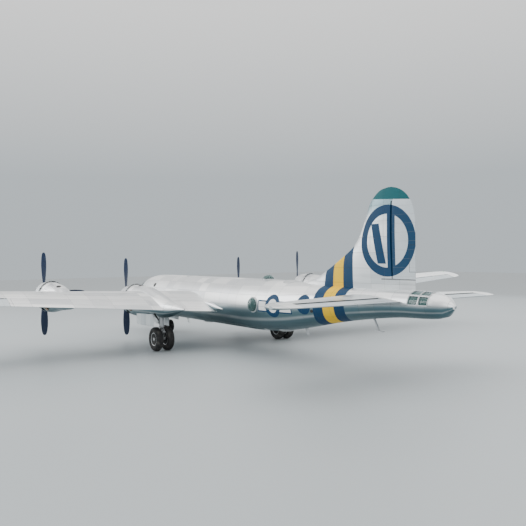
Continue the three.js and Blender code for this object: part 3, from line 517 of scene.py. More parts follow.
def fabric_material(name, along, tabs, paint_marks=(), shade_marks=()):
    """Silver-doped fabric over ribs. along is the direction that the ribs follow one another in. A tab is
    its two ends in that direction and the station of its front edge."""
    net = Net(name)
    line = getattr(net, along)
    outlines = []
    for low, high, front in tabs:
        outer, inner = (
            net.within(line, low - grow, high + grow) * (net.station > front - grow)
            for grow in (TAB_LINE, -TAB_LINE)
        )
        outlines.append(outer - inner)
    rib = net.steep(abs(net.math("FRACT", line / RIB_PITCH) - 0.5), 0.46, 0.5)
    weave = net.node("ShaderNodeTexChecker", net.place, (1, 1, 1), (0, 0, 0), 900.0, output="Fac")
    cloud = net.noise(2.0, 4.0)
    color, paint = net.blend(cloud, *FABRIC_TINTS), 0.0
    for mark in paint_marks:
        color, paint = mark(net, color, paint)
    color = net.blend(rib * 0.25, color, DIRT)
    color = net.blend(net.either(*outlines) * 0.75, color, JOINT_SHADE)
    for mark in shade_marks:
        color, paint = mark(net, color, paint)
    # Painted dark teal shade on faces turned down
    color = net.blend(net.steep(net.facing_up, 0.1, -0.5) * 0.7, color, PAINTED_UNDER_SHADE)
    metallic = (1.0 - paint) * 0.35
    net.set(color=color, rough=net.number(cloud, 0.42, 0.6), metal=metallic, specular=PAINT_GLOSS)
    net.bump(rib + weave * 0.1, 0.004, 0.6)
    return net.material


def glass_material():
    net = Net("clear_glazing")
    haze = net.noise(3.0, 3.0)
    facing = net.node("ShaderNodeLayerWeight", 0.35, output="Facing")
    color = net.blend(haze, (0.03, 0.095, 0.095), (0.07, 0.16, 0.155))
    net.set(color=color, rough=net.number(haze, 0.03, 0.1), alpha=net.number(facing, 0.5, 0.92))
    net.set(coat=0.5, ior=1.5)
    net.bump(haze, 0.002, 0.2)
    return net.material


def painted_material(name, first, second, roughness, metallic=0.0, scale=6.0, wear=0.12):
    """Worn paint or cast metal: clouds of two tones, scratches that show, and a fine orange peel."""
    net = Net(name)
    cloud = net.noise(scale, 4.0)
    scratch = net.steep(net.noise(scale * 9, 2.0), 0.66, 0.72)
    color = net.blend(scratch * wear, net.blend(cloud, first, second), BARE_EDGE)
    net.set(color=color, rough=cloud * 0.14 + roughness, metal=metallic)
    net.bump(net.noise(scale * 30, 2.0), 0.0006, 0.35)
    return net.material


def tyre_material():
    net = Net("tyre_rubber")
    dust = net.noise(9.0, 5.0)
    color = net.blend(net.steep(dust, 0.4, 0.75), (0.018, 0.018, 0.019), (0.075, 0.072, 0.068))
    net.set(color=color, rough=net.number(dust, 0.7, 0.92), specular=0.35)
    net.bump(net.noise(160.0, 2.0), 0.0008, 0.5)
    return net.material


def leather_material():
    net = Net("seat_leather")
    grain = net.node("ShaderNodeTexVoronoi", net.place, 260.0, places=("Vector", "Scale"), output="Distance")
    net.set(color=net.blend(net.noise(8.0, 4.0), (0.085, 0.05, 0.03), (0.17, 0.11, 0.07)), rough=0.55)
    net.bump(grain, 0.001, 0.5)
    return net.material


def lamp_material(name, color):
    net = Net(name)
    facet = net.noise(40.0, 1.0)
    net.set(color=net.blend(facet, color, [min(1, c * 1.6 + 0.05) for c in color]))
    net.set(rough=net.number(facet, 0.05, 0.15), coat=1.0)
    return net.material


# Tabs on the fabric surfaces: two ends along the row of ribs, station of the front edge
RUDDER_TABS = ((4.75, 5.9, 27.78),)
FABRIC_TABS = ((1.3, 2.9, 27.5), (14.0, 15.8, 13.22))

MATERIALS = {
    "body": body_material(),
    "wing": wing_material(),
    "inner_nacelle": nacelle_material("bare_metal_inner_nacelle", 4.34, 2.8, True),
    "outer_nacelle": nacelle_material("bare_metal_outer_nacelle", 9.65, 3.2, False),
    "fin": fin_material(),
    "tail": tail_material(),
    "rudder": fabric_material("doped_rudder", "height", RUDDER_TABS, paint_marks=(ring_mark,)),
    "fabric": fabric_material("doped_fabric", "across", FABRIC_TABS, shade_marks=(nose_shade,)),
    "glass": glass_material(),
    "cabin": painted_material("cabin_green", CHROMATE, (0.22, 0.26, 0.15), 0.55),
    "iron": painted_material("engine_iron", (0.06, 0.063, 0.066), (0.13, 0.13, 0.13), 0.42, 0.6),
    "case": painted_material("crankcase_grey", (0.22, 0.24, 0.26), (0.34, 0.36, 0.37), 0.38, 0.5),
    "blade": painted_material("blade_paint", (0.001, 0.01, 0.04), (0.004, 0.024, 0.075), 0.4, 0.1, 3.0, 0.06),
    "gear": painted_material("gear_silver", (0.42, 0.44, 0.45), (0.62, 0.63, 0.64), 0.34, 0.6),
    "chrome": painted_material("oleo_chrome", (0.72, 0.73, 0.74), (0.85, 0.85, 0.85), 0.08, 1.0),
    "burnt": painted_material("exhaust_steel", (0.09, 0.065, 0.05), (0.28, 0.2, 0.15), 0.4, 0.8, 10.0),
    "black": painted_material("matt_black", (0.012, 0.012, 0.013), (0.035, 0.035, 0.036), 0.5),
    "tyre": tyre_material(),
    "leather": leather_material(),
    "red_lamp": lamp_material("red_lamp", (0.5, 0.015, 0.01)),
    "green_lamp": lamp_material("green_lamp", (0.01, 0.3, 0.08)),
    "clear_lamp": lamp_material("clear_lamp", (0.7, 0.72, 0.72)),
}

# The material that a CAD node takes, by its slot in the record
SLOT_MATERIALS = {
    "skin": "body", "fin_skin": "fin", "fabric": "fabric", "glazing": "glass", "cabin": "cabin",
    "engine": "iron", "blades": "blade", "gear": "gear", "tyre": "tyre",
}
CAD_WELD = 1e-5
CAD_SHARP = radians(28)


def softener():
    """A modifier that shades a CAD solid smooth, but for its real edges. It moves no point."""
    group = bpy.data.node_groups.new("smooth_but_edges", "GeometryNodeTree")
    for way in ("INPUT", "OUTPUT"):
        group.interface.new_socket("Geometry", in_out=way, socket_type="NodeSocketGeometry")
    chain = [group.nodes.new(kind) for kind in (
        "NodeGroupInput", "GeometryNodeRemoveAttribute", "GeometryNodeMergeByDistance",
        "GeometryNodeSetShadeSmooth", "GeometryNodeSetShadeSmooth", "NodeGroupOutput",
    )]
    for before, after in zip(chain, chain[1:]):
        group.links.new(before.outputs[0], after.inputs[0])
    _, bare, weld, _, edges, _ = chain
    bare.inputs["Name"].default_value = "custom_normal"
    weld.inputs["Distance"].default_value = CAD_WELD
    edges.domain = "EDGE"
    angle = group.nodes.new("GeometryNodeInputMeshEdgeAngle")
    gentle = group.nodes.new("FunctionNodeCompare")
    gentle.operation = "LESS_THAN"
    gentle.inputs[1].default_value = CAD_SHARP
    group.links.new(angle.outputs["Unsigned Angle"], gentle.inputs[0])
    group.links.new(gentle.outputs[0], edges.inputs["Shade Smooth"])
    return group


def dress_nodes():
    slots = {part["node"]: part["material_slot"] for part in frame["record"]["subparts"]}
    group = softener()
    for name, node in frame["nodes"].items():
        if not node.material_slots:
            node.data.materials.append(None)
        for place in node.material_slots:
            place.link = "OBJECT"
            place.material = MATERIALS[SLOT_MATERIALS[slots[name]]]
        node.modifiers.new("smooth_but_edges", "NODES").node_group = group


# Meshes

FORWARD, LEFT, UP = Vector((1, 0, 0)), Vector((0, 1, 0)), Vector((0, 0, 1))
ROOT = "airframe"
WELD = {"points": 2e-5, "edges": 1e-6}
BROKEN_EDGE = 0.12  # of a rod's radius


def at(station, y, z):
    """A point in the real aircraft's metres, with X forward."""
    return Vector((-station, y, z))


def steps(low, high, count):
    return [mix(low, high, i / count) for i in range(count + 1)]


def turns(count):
    """Angles once round, without the last one, which is the first again."""
    return steps(0, 2 * pi, count)[:-1]


def spoke(turn):
    """The direction at an angle round the X axis, and the one square to it in the same disc."""
    return LEFT * cos(turn) + UP * sin(turn), UP * cos(turn) - LEFT * sin(turn)


def curve_at(rows, key):
    """The columns of a table at a key, on a smooth curve through its rows."""
    i = next((i for i in range(1, len(rows) - 1) if key <= rows[i][0]), len(rows) - 1)
    low, high = rows[i - 1], rows[i]
    before = rows[i - 2] if i > 1 else low
    after = rows[i + 1] if i + 1 < len(rows) else high
    span = high[0] - low[0]
    t = (key - low[0]) / span
    values = []
    for c in range(1, len(low)):
        leave = (high[c] - before[c]) / (high[0] - before[0]) * span
        arrive = (after[c] - low[c]) / (after[0] - low[0]) * span
        rise = t * t * (3 - 2 * t)
        bend = leave * t * (1 - t) ** 2 - arrive * t * t * (1 - t)
        values.append(mix(low[c], high[c], rise) + bend)
    return values


def square_to(axis):
    """Two directions square to an axis and to each other."""
    side = axis.cross(FORWARD if abs(axis.x) < 0.9 else UP).normalized()
    return side, axis.cross(side).normalized()


def ellipse(centre, side, up, sides):
    """A ring of points about a centre. side and up are the half axes."""
    return [centre + side * cos(a) + up * sin(a) for a in turns(sides)]


class Shape:
    """The points and faces of a piece, in the real aircraft's metres."""

    def __init__(self):
        self.points = []
        self.faces = []

    def loft(self, rings, caps=True):
        """A skin over rings with the same number of points each."""
        count = len(rings[0])
        start = len(self.points)
        last = start + (len(rings) - 1) * count
        self.points += [point for ring in rings for point in ring]
        for row in range(start, last, count):
            for i in range(count):
                a, b = row + i, row + (i + 1) % count
                self.faces.append((a, b, b + count, a + count))
        if caps:
            self.faces.append(tuple(range(start, start + count)))
            self.faces.append(tuple(range(last, last + count)))
        return self

    def lathe(self, centre, axis, profile, sides=32):
        """A turned form. The profile's rows are a radius and a distance along the axis. It may close."""
        side, up = square_to(axis)
        rings = [ellipse(centre + axis * h, side * r, up * r, sides) for r, h in profile]
        return self.loft(rings, caps=profile[0] != profile[-1])

    def rod(self, start, end, radius, end_radius=None, sides=16):
        """A round bar with its edges broken."""
        last = radius if end_radius is None else end_radius
        length = (end - start).length
        edge = min(radius, last, length / 2) * BROKEN_EDGE
        profile = [(radius - edge, 0), (radius, edge), (last, length - edge), (last - edge, length)]
        return self.lathe(start, (end - start).normalized(), profile, sides)

    def pipe(self, path, radius, sides=8):
        side = square_to((path[1] - path[0]).normalized())[0]
        rings = []
        for i, point in enumerate(path):
            along = (path[min(i + 1, len(path) - 1)] - path[max(i - 1, 0)]).normalized()
            side = (side - along * side.dot(along)).normalized()
            rings.append(ellipse(point, side * radius, along.cross(side) * radius, sides))
        return self.loft(rings)

    def slab(self, centre, size, edge=0.008, axes=(FORWARD, LEFT, UP)):
        """A block whose edges are all chamfered. Its size is along its own axes."""
        a, b, c = (axis * length / 2 for axis, length in zip(axes, size))
        cut_a, cut_b, cut_c = (axis * edge for axis in axes)

        def ring(a, b, lift):
            points = []
            for u, v in ((1, 1), (-1, 1), (-1, -1), (1, -1)):
                first = centre + lift + a * u + (b - cut_b) * v
                second = centre + lift + (a - cut_a) * u + b * v
                points += [first, second] if u == v else [second, first]
            return points

        small = (a - cut_a, b - cut_b)
        return self.loft([ring(*small, -c), ring(a, b, cut_c - c), ring(a, b, c - cut_c), ring(*small, c)])

    def build(self, name):
        shift = Vector((NOSE, 0, 0))
        mesh = bpy.data.meshes.new(name)
        mesh.from_pydata([shift + point * SCALE for point in self.points], [], self.faces)
        bm = bmesh.new()
        bm.from_mesh(mesh)
        bmesh.ops.remove_doubles(bm, verts=bm.verts, dist=WELD["points"])
        bmesh.ops.dissolve_degenerate(bm, edges=bm.edges, dist=WELD["edges"])
        bmesh.ops.recalc_face_normals(bm, faces=bm.faces)
        bm.to_mesh(mesh)
        bm.free()
        made = bpy.data.objects.new(name, mesh)
        bpy.context.scene.collection.objects.link(made)
        return made


def carve(piece, cutters):
    """Cuts closed shapes out of a piece, and keeps the result as its mesh."""
    for cutter in cutters:
        tool = cutter.build("cutter")
        cut = piece.modifiers.new("cut", "BOOLEAN")
        cut.object = tool
        cut.operation = "DIFFERENCE"
        cut.solver = "EXACT"
        depsgraph = bpy.context.evaluated_depsgraph_get()
        mesh = bpy.data.meshes.new_from_object(piece.evaluated_get(depsgraph))
        piece.modifiers.remove(cut)
        old, piece.data = piece.data, mesh
        bpy.data.meshes.remove(old)
        bpy.data.objects.remove(tool)


def make(name, shape, material, body=ROOT, replaces=(), cutters=(), sharp=32):
    piece = shape.build(name)
    carve(piece, cutters)
    mesh = piece.data
    mesh.materials.clear()
    mesh.materials.append(MATERIALS[material])
    mesh.shade_smooth()
    mesh.set_sharp_from_angle(angle=radians(sharp))
    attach(piece, body)
    if replaces:
        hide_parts(*replaces)
    return piece


# Flying surfaces

NOSE_COUNT = 18
REAR_COUNT = 7
HINGE_NOSE_COUNT = 12
EDGE = 0.009  # half thickness of a trailing edge
SWING_GAP = 0.024  # between a control surface's nose and what it turns in
END_GAP = 0.012  # beside a flap, a control surface or a door


def surface_rings(rows, place):
    """Closed rings round a surface. A row is a key, the share of the chord where the ring may be cut and
    the share where it ends. place(key, share, side) gives a point of the upper or lower surface."""
    rings = []
    for key, split, end in rows:
        shares = [split * t * t for t in steps(0, 1, NOSE_COUNT)]
        shares += [mix(split, end, t) for t in steps(0, 1, REAR_COUNT)[1:]]
        upper = [place(key, share, 1) for share in shares]
        lower = [place(key, share, -1) for share in shares[1:]]
        rings.append(upper + lower[::-1])
    return rings


def add_control(node, keys, place, hinge_share, material="fabric"):
    """A control surface: closed rings with a round nose about its hinge."""
    rings = []
    for key in keys:
        hinge = hinge_share(key)
        top, foot = place(key, hinge, 1), place(key, hinge, -1)
        centre = (top + foot) / 2
        up = top - centre
        aft = (place(key, 1, 0) - centre).normalized()
        nose = [centre + up * cos(a) - aft * up.length * sin(a) for a in steps(0, pi, HINGE_NOSE_COUNT)]
        shares = steps(hinge, 1, REAR_COUNT)[1:]
        upper = [place(key, share, 1) for share in shares]
        lower = [place(key, share, -1) for share in shares]
        rings.append(upper[::-1] + nose + lower)
    make(f"{node}_cover", Shape().loft(rings), material, node, [node])


def fullness(share, thickness):
    """Half thickness of a rounded section, as a share of its chord."""
    curve = 0.2969 * sqrt(share) - 0.126 * share - 0.3516 * share**2 + 0.2843 * share**3 - 0.1036 * share**4
    return 5 * thickness * curve


PEAK = fullness(0.3, 1)

WING = {
    "front": 8.5, "front_sweep": 0.1228, "rear": 13.7, "rear_sweep": -0.017, "height": 2.455,
    "dihedral": 0.068, "incidence": radians(6.2), "pivot": 0.4, "camber": 0.038, "root": 1.0, "tip": 21.525,
    "shrink": 0.45, "split": 0.7, "row": 0.7, "tip_rows": 14,
}
SPAN_ROWS = (
    # distance from the centreline, thickness as a share of the chord
    (0.9, 0.22), (4.34, 0.205), (9.65, 0.18), (20.4, 0.12), (21.08, 0.11), (21.4, 0.09), (21.525, 0.06),
)
TIP = {"from": 20.4, "end": 21.54, "power": 2.3}
FLAP = {"share": 0.74, "gap": 0.0025, "rows": 10}
FLAPS = {"inner": (1.7, 3.42), "outer": (5.26, 12.85)}
AILERON = {"from": 13.0, "to": 20.3, "hinge": 0.77, "rows": 19}


def wing_chord(y):
    return WING["rear"] - WING["front"] + (WING["rear_sweep"] - WING["front_sweep"]) * y


def wing_spot(y, share, surface, side=1):
    over = max(0.0, (y - TIP["from"]) / (TIP["end"] - TIP["from"]))
    left = (1 - over ** TIP["power"]) ** (1 / TIP["power"])
    front = WING["front"] + WING["front_sweep"] * y
    chord = wing_chord(y)
    camber = WING["camber"] * 4 * share * (1 - share) * chord * left
    half = fullness(share, table_at(SPAN_ROWS, y, 1)) * chord * left + EDGE * share
    aft = (WING["shrink"] + (share - WING["shrink"]) * left - WING["pivot"]) * chord
    station = front + WING["pivot"] * chord + aft * cos(WING["incidence"])
    height = WING["height"] + WING["dihedral"] * y + camber + surface * half - aft * sin(WING["incidence"])
    return at(station, side * y, height)


def aileron_cut(y):
    """The share of the chord where the wing ends ahead of the aileron."""
    hinge = AILERON["hinge"]
    return hinge - fullness(hinge, table_at(SPAN_ROWS, y, 1)) - (SWING_GAP + EDGE) / wing_chord(y)


def wing_rows():
    """Rows for surface_rings, with two at each span where the wing's rear edge steps."""
    spans = [WING["root"]]
    ends = [lambda y: 1.0]
    for low, high in FLAPS.values():
        spans += [low, high]
        ends += [lambda y: FLAP["share"], lambda y: 1.0]
    spans += [AILERON["from"], AILERON["to"], TIP["from"]]
    ends += [aileron_cut, lambda y: 1.0]
    rows = []
    for low, high, end in zip(spans, spans[1:], ends):
        for y in steps(low, high, max(1, round((high - low) / WING["row"]))):
            rows.append((y, min(WING["split"], end(y)), end(y)))
    for angle in steps(0, pi / 2, WING["tip_rows"])[1:]:
        rows.append((mix(TIP["from"], WING["tip"], sin(angle)), WING["split"], 1.0))
    return rows


BODY_CUT = Shape().lathe(at(8, 0, 2.75), -FORWARD, [(1.43, 0), (1.43, 7)], 96)


def well_cut(side):
    middle = (WELL["from"] + WELL["to"]) / 2
    size = (WELL["to"] - WELL["from"], 2 * WELL["half"], WELL["top"] - WELL["low"])
    return Shape().slab(at(middle, side * WELL["y"], (WELL["top"] + WELL["low"]) / 2), size, 0)


def add_wings():
    shares = steps(FLAP["share"] + FLAP["gap"], 1, FLAP["rows"])
    for name, side in SIDES:
        place = partial(wing_spot, side=side)
        rings = surface_rings(wing_rows(), place)
        cutters = (BODY_CUT, well_cut(side))
        make(f"wing_skin_{name}", Shape().loft(rings), "wing", replaces=[f"wing_{name}"], cutters=cutters)
        for which, (low, high) in FLAPS.items():
            rings = []
            for y in steps(low + END_GAP, high - END_GAP, FLAP["rows"]):
                upper = [place(y, share, 1) for share in shares]
                rings.append(upper + [place(y, share, -1) for share in shares[::-1]])
            node = f"flap_{which}_{name}"
            cutters = (BODY_CUT,) if which == "inner" else ()
            make(f"{node}_skin", Shape().loft(rings), "wing", replaces=[node], cutters=cutters)
        spans = steps(AILERON["from"] + END_GAP, AILERON["to"] - END_GAP, AILERON["rows"])
        add_control(f"aileron_{name}", spans, place, lambda y: AILERON["hinge"])


# Tail. A row of it is the front edge, the rear edge and the greatest half thickness of a section

HINGE = 26.9  # station of the rudder's and the elevators' hinges
FIN = {
    "rear": 28.1, "low": 3.6, "foot": 4.44, "cap": 7.95, "top": 8.46, "bend": 6.6, "draw": 1.5, "split": 0.5,
}
FIN_ROWS = (
    # height, station of the front edge, greatest half thickness
    (3.6, 19.0, 0.21), (4.05, 20.15, 0.205), (4.3, 21.3, 0.2), (4.69, 22.2, 0.195), (5.26, 23.27, 0.19),
    (5.78, 24.15, 0.185), (6.05, 24.45, 0.18), (6.5, 24.78, 0.172), (7.3, 25.16, 0.15), (7.8, 25.4, 0.13),
    (8.06, 25.62, 0.11), (8.27, 25.88, 0.085), (8.4, 26.16, 0.06), (8.46, 26.52, 0.03),
)
TAIL = {"height": 3.51, "root": 0.86, "tip": 5.45, "end": 6.5, "axis": 26.85, "split": 0.6, "tip_half": 0.35}
TAIL_ROWS = (
    # distance from the centreline, front edge, rear edge, half thickness
    (0.3, 24.25, 27.76, 0.21), (0.86, 24.4, 27.74, 0.205), (5.45, 25.56, 27.56, 0.136),
)


def bulge(half, share):
    return half * fullness(share, 1) / PEAK


def hinge_in(row):
    """The share of the chord where the hinge lies."""
    front, rear, _ = row
    return (HINGE - front) / (rear - front)


def cut_in(row):
    """The share of the chord where a surface ends ahead of the one that turns on the hinge."""
    front, rear, half = row
    nose = bulge(half, hinge_in(row)) + EDGE
    return hinge_in(row) - (nose + SWING_GAP) / (rear - front)


def fin_row(z):
    front, half = curve_at(FIN_ROWS, z)
    over = min(0.995, max(0.0, z - FIN["bend"]) / (FIN["top"] - FIN["bend"]))
    return front, FIN["rear"] - FIN["draw"] * (1 - sqrt(1 - over**2.6)), half


def fin_spot(z, share, surface):
    front, rear, half = fin_row(z)
    return at(mix(front, rear, share), surface * (bulge(half, share) + EDGE * share), z)


def tail_row(y):
    """Straight to the tip, then round it."""
    if y <= TAIL["tip"]:
        return [table_at(TAIL_ROWS, y, column) for column in (1, 2, 3)]
    over = (y - TAIL["tip"]) / (TAIL["end"] - TAIL["tip"])
    front, rear, half = TAIL_ROWS[-1][1:]
    left = sqrt(1 - min(0.99, over) ** 2.2)
    axis = TAIL["axis"]
    return [axis - (axis - front) * left, axis + (rear - axis) * left, half * mix(TAIL["tip_half"], 1, left)]


def tail_spot(y, share, surface, side=1):
    front, rear, half = tail_row(y)
    lift = bulge(half, share) + EDGE * share
    return at(mix(front, rear, share), side * y, TAIL["height"] + surface * lift)


def add_fin():
    cap = FIN["cap"]
    rows = [(z, cut_in(fin_row(z)), 1.0) for z in steps(FIN["low"], FIN["foot"], 8)]
    rows += [(z, cut_in(fin_row(z)), cut_in(fin_row(z))) for z in steps(FIN["foot"], cap, 30)[:-1]]
    rows.append((cap, cut_in(fin_row(cap)), 1.0))
    rows += [(cap + (FIN["top"] - cap) * sin(a), FIN["split"], 1.0) for a in steps(0, pi / 2, 14)]
    make("fin_skin", Shape().loft(surface_rings(rows, fin_spot)), "fin", replaces=["fin"])
    heights = steps(FIN["foot"] + END_GAP, cap - END_GAP, 22)
    add_control("rudder", heights, fin_spot, lambda z: hinge_in(fin_row(z)), "rudder")


def add_tailplane():
    root, tip = TAIL["root"], TAIL["tip"]
    rows = [(y, cut_in(tail_row(y)), 1.0) for y in steps(TAIL_ROWS[0][0], root, 3)]
    rows += [(y, cut_in(tail_row(y)), cut_in(tail_row(y))) for y in steps(root, tip, 12)]
    rows.append((tip, cut_in(tail_row(tip)), 1.0))
    rows += [(tip + (TAIL["end"] - tip) * sin(a), TAIL["split"], 1.0) for a in steps(0, pi / 2, 12)[1:]]
    for name, side in SIDES:
        place = partial(tail_spot, side=side)
        shape = Shape().loft(surface_rings(rows, place))
        make(f"stabiliser_skin_{name}", shape, "tail", replaces=[f"stabiliser_{name}"])
        spans = steps(root + END_GAP, tip - END_GAP, 14)
        add_control(f"elevator_{name}", spans, place, lambda y: hinge_in(tail_row(y)))


# Engines, nacelles and propellers

Unit = namedtuple("Unit", "name y thrust propeller inner")
UNITS = (
    # name, distance to the left, thrust line's height, propeller's station, inboard
    Unit("1", 9.65, 3.33, 7.0, False), Unit("2", 4.34, 2.93, 6.9, True),
    Unit("3", -4.34, 2.93, 6.9, True), Unit("4", -9.65, 3.33, 7.0, False),
)
COWL = {"setback": 0.38, "bore": 0.52, "depth": 0.9, "lip": 0.1, "throat": 0.4, "tall": 1.04}
INNER_ROWS = (
    # distance aft of the cowl's lip, half width, half height, centre against the thrust line
    (0, 0.62, 0.69, -0.07), (0.08, 0.69, 0.78, -0.085), (0.38, 0.755, 0.87, -0.11), (1.5, 0.8, 0.975, -0.14),
    (3.4, 0.78, 0.9, -0.17), (5.0, 0.66, 0.67, -0.33), (6.32, 0.43, 0.44, -0.42), (7.32, 0.2, 0.21, -0.37),
    (8.01, 0.04, 0.045, -0.35),
)
OUTER_ROWS = (
    (0, 0.62, 0.69, -0.07), (0.08, 0.69, 0.78, -0.085), (0.38, 0.755, 0.86, -0.11), (1.5, 0.77, 0.88, -0.12),
    (2.9, 0.68, 0.7, -0.12), (4.1, 0.48, 0.44, -0.26), (5.1, 0.24, 0.24, -0.35), (5.6, 0.06, 0.06, -0.38),
)
NACELLE_SIDES = 56
CHIN = {"from": -0.1, "to": 0.5, "arcs": ((0.572, -125, -55), (0.7, -57, -123))}


def nacelle_kind(unit):
    """The rows and the material of a nacelle."""
    return (INNER_ROWS, "inner_nacelle") if unit.inner else (OUTER_ROWS, "outer_nacelle")


def cowl_at(unit, aft):
    """A point on the thrust line, at a distance aft of the cowl's lip."""
    return at(unit.propeller + COWL["setback"] + aft, unit.y, unit.thrust)


def nacelle_spot(unit, aft, angle, grow=0.0):
    half, tall, lift = curve_at(nacelle_kind(unit)[0], aft)
    station = unit.propeller + COWL["setback"] + aft
    return at(station, unit.y + (half + grow) * cos(angle), unit.thrust + lift + (tall + grow) * sin(angle))


def nacelle_ring(unit, aft):
    return [nacelle_spot(unit, aft, angle) for angle in turns(NACELLE_SIDES)]


def bore_ring(unit, aft):
    return ellipse(cowl_at(unit, aft), LEFT * COWL["bore"], UP * COWL["bore"], NACELLE_SIDES)


def lip_arc(centre, radius, low, high, count):
    """An arc with the lip's curve, between two angles in degrees."""
    angles = steps(radians(low), radians(high), count)
    return [centre + LEFT * radius * cos(a) + UP * radius * COWL["tall"] * sin(a) for a in angles]


def chin_cut(unit):
    """A slot with the lip's curve, below the engine's opening."""
    rings = []
    for aft in (CHIN["from"], CHIN["to"]):
        arcs = [lip_arc(cowl_at(unit, aft), *arc, 14) for arc in CHIN["arcs"]]
        rings.append(arcs[0] + arcs[1])
    return Shape().loft(rings)


def add_nacelles():
    for unit in UNITS:
        rows, material = nacelle_kind(unit)
        inside, outside = bore_ring(unit, COWL["lip"]), nacelle_ring(unit, COWL["lip"])
        rings = [bore_ring(unit, COWL["depth"]), bore_ring(unit, COWL["throat"]), inside]
        for angle in steps(0, pi, 10)[1:-1]:
            shift = FORWARD * COWL["lip"] * sin(angle)
            rings.append([a.lerp(b, (1 - cos(angle)) / 2) + shift for a, b in zip(inside, outside)])
        rings += [nacelle_ring(unit, aft) for aft in steps(COWL["lip"], rows[-1][0], 40)]
        cutters = [chin_cut(unit)]
        if unit.inner:
            cutters.append(well_cut(1 if unit.y > 0 else -1))
        node = f"nacelle_{unit.name}"
        make(f"nacelle_skin_{unit.name}", Shape().loft(rings), material, replaces=[node], cutters=cutters)


BLADE_ROWS = (
    # radius, chord, thickness, pitch in degrees from the disc, roundness of the section
    (0.12, 0.165, 0.165, 56, 1.0), (0.34, 0.165, 0.16, 54, 1.0), (0.6, 0.25, 0.125, 50, 0.6),
    (1.0, 0.385, 0.088, 42, 0.0), (1.7, 0.43, 0.05, 30, 0.0), (2.2, 0.345, 0.033, 25, 0.0),
    (2.42, 0.245, 0.024, 22, 0.0), (2.5, 0.14, 0.017, 21, 0.0), (2.52, 0.05, 0.01, 20, 0.0),
)
BLADE_RADII = steps(0.12, 2.3, 18) + [2.36, 2.42, 2.46, 2.49, 2.51, 2.52]
BLADES = 4
BLADE_SIDES = 24
BLADE_BELLY = 0.55  # depth of the flat side against the curved one
BLADE_FRONT = 0.35  # how far the thickest place lies ahead
HUB = (
    # radius, distance ahead
    (0, -0.33), (0.08, -0.33), (0.08, -0.12), (0.165, -0.115), (0.18, -0.1), (0.18, 0.075), (0.168, 0.095),
    (0.125, 0.11), (0.12, 0.2), (0.128, 0.205), (0.128, 0.225), (0.118, 0.23), (0.112, 0.27), (0.095, 0.305),
    (0.062, 0.332), (0.03, 0.343), (0, 0.345),
)
COLLAR = (
    # radius, distance out along the blade
    (0.1, 0), (0.112, 0.02), (0.112, 0.17), (0.118, 0.18), (0.118, 0.22), (0.1, 0.235), (0.09, 0.3),
)
COLLAR_FOOT = 0.1
CLAMP_BOLT = {"out": 0.3, "aside": 0.125, "half": 0.03, "radius": 0.016}


def blade_ring(centre, turn, radius):
    chord, thick, degrees, roundness = curve_at(BLADE_ROWS, radius)
    out, around = spoke(turn)
    pitch = radians(degrees)
    along = around * cos(pitch) + FORWARD * sin(pitch)
    through = FORWARD * cos(pitch) - around * sin(pitch)
    round_share = max(0, roundness)
    ring = []
    for angle in turns(BLADE_SIDES):
        fore = 0.5 * cos(angle)
        flat = 1 if sin(angle) > 0 else mix(BLADE_BELLY, 1, round_share)
        lift = 0.5 * sin(angle) * mix(1 + BLADE_FRONT * cos(angle), 1, round_share) * flat
        ring.append(centre + out * radius + along * fore * chord + through * lift * thick)
    return ring


def add_propellers():
    bolt = CLAMP_BOLT
    for unit in UNITS:
        centre = at(unit.propeller, unit.y, unit.thrust)
        body = f"propeller_{unit.name}"
        blades, hub = Shape(), Shape().lathe(centre, FORWARD, HUB, 40)
        for turn in turns(BLADES):
            blades.loft([blade_ring(centre, turn, radius) for radius in BLADE_RADII])
            out, around = spoke(turn)
            hub.lathe(centre + out * COLLAR_FOOT, out, COLLAR, 28)
            for hand in HANDS:
                middle = centre + out * bolt["out"] + around * hand * bolt["aside"]
                reach = FORWARD * bolt["half"]
                hub.rod(middle - reach, middle + reach, bolt["radius"], sides=8)
        make(f"blades_{unit.name}", blades, "blade", body, [body], sharp=50)
        make(f"hub_{unit.name}", hub, "gear", body)


# Engine parts. A profile's rows are a radius and a distance along its axis
NOSE_CASE = (
    (0.0, 0.05), (0.515, 0.05), (0.515, 0.09), (0.26, 0.12), (0.245, 0.2), (0.245, 0.74), (0.262, 0.76),
    (0.262, 0.8), (0.235, 0.83), (0.215, 0.9), (0.18, 0.98), (0.135, 1.04), (0.13, 1.08), (0.105, 1.1),
    (0.1, 1.125), (0.083, 1.13),
)
COOLING = {
    "foot": 0.235, "first": 0.262, "last": 0.415, "count": 10, "thin": 0.084, "wide": 0.112, "rise": 0.002,
    "top": 0.45, "end": 0.5,
}
HEAD = (
    (0.1, 0.42), (0.118, 0.425), (0.118, 0.436), (0.1, 0.44), (0.1, 0.447), (0.116, 0.45), (0.116, 0.462),
    (0.08, 0.492),
)
CYLINDER_ROWS = ((0.63, 0.5), (0.33, 0.0))  # distance ahead, shift in cylinder pitches
CYLINDERS = 9
ROCKER_BOX = {"out": 0.466, "aside": 0.062, "size": (0.1, 0.05, 0.05), "edge": 0.012, "front": 0.055}
PUSHROD = {"ahead": 0.8, "out": 0.24, "aside": 0.045, "radius": 0.012}
SPARK_RING = {"ahead": 0.86, "radius": 0.262, "thick": 0.02}
LEAD = {"ends": ((0.16, 0.36), (0.1, 0.43)), "radius": 0.009}  # ahead of the cylinder, out


def cylinder_profile():
    """A barrel with its cooling fins, and the head."""
    fins = COOLING
    pitch = (fins["last"] - fins["first"]) / fins["count"]
    profile = [(fins["thin"], fins["foot"])]
    for i in range(fins["count"]):
        start = fins["first"] + i * pitch
        profile += [(fins["thin"], start), (fins["wide"], start + fins["rise"])]
        profile += [(fins["wide"], start + pitch * fins["top"]), (fins["thin"], start + pitch * fins["end"])]
    return profile + list(HEAD)


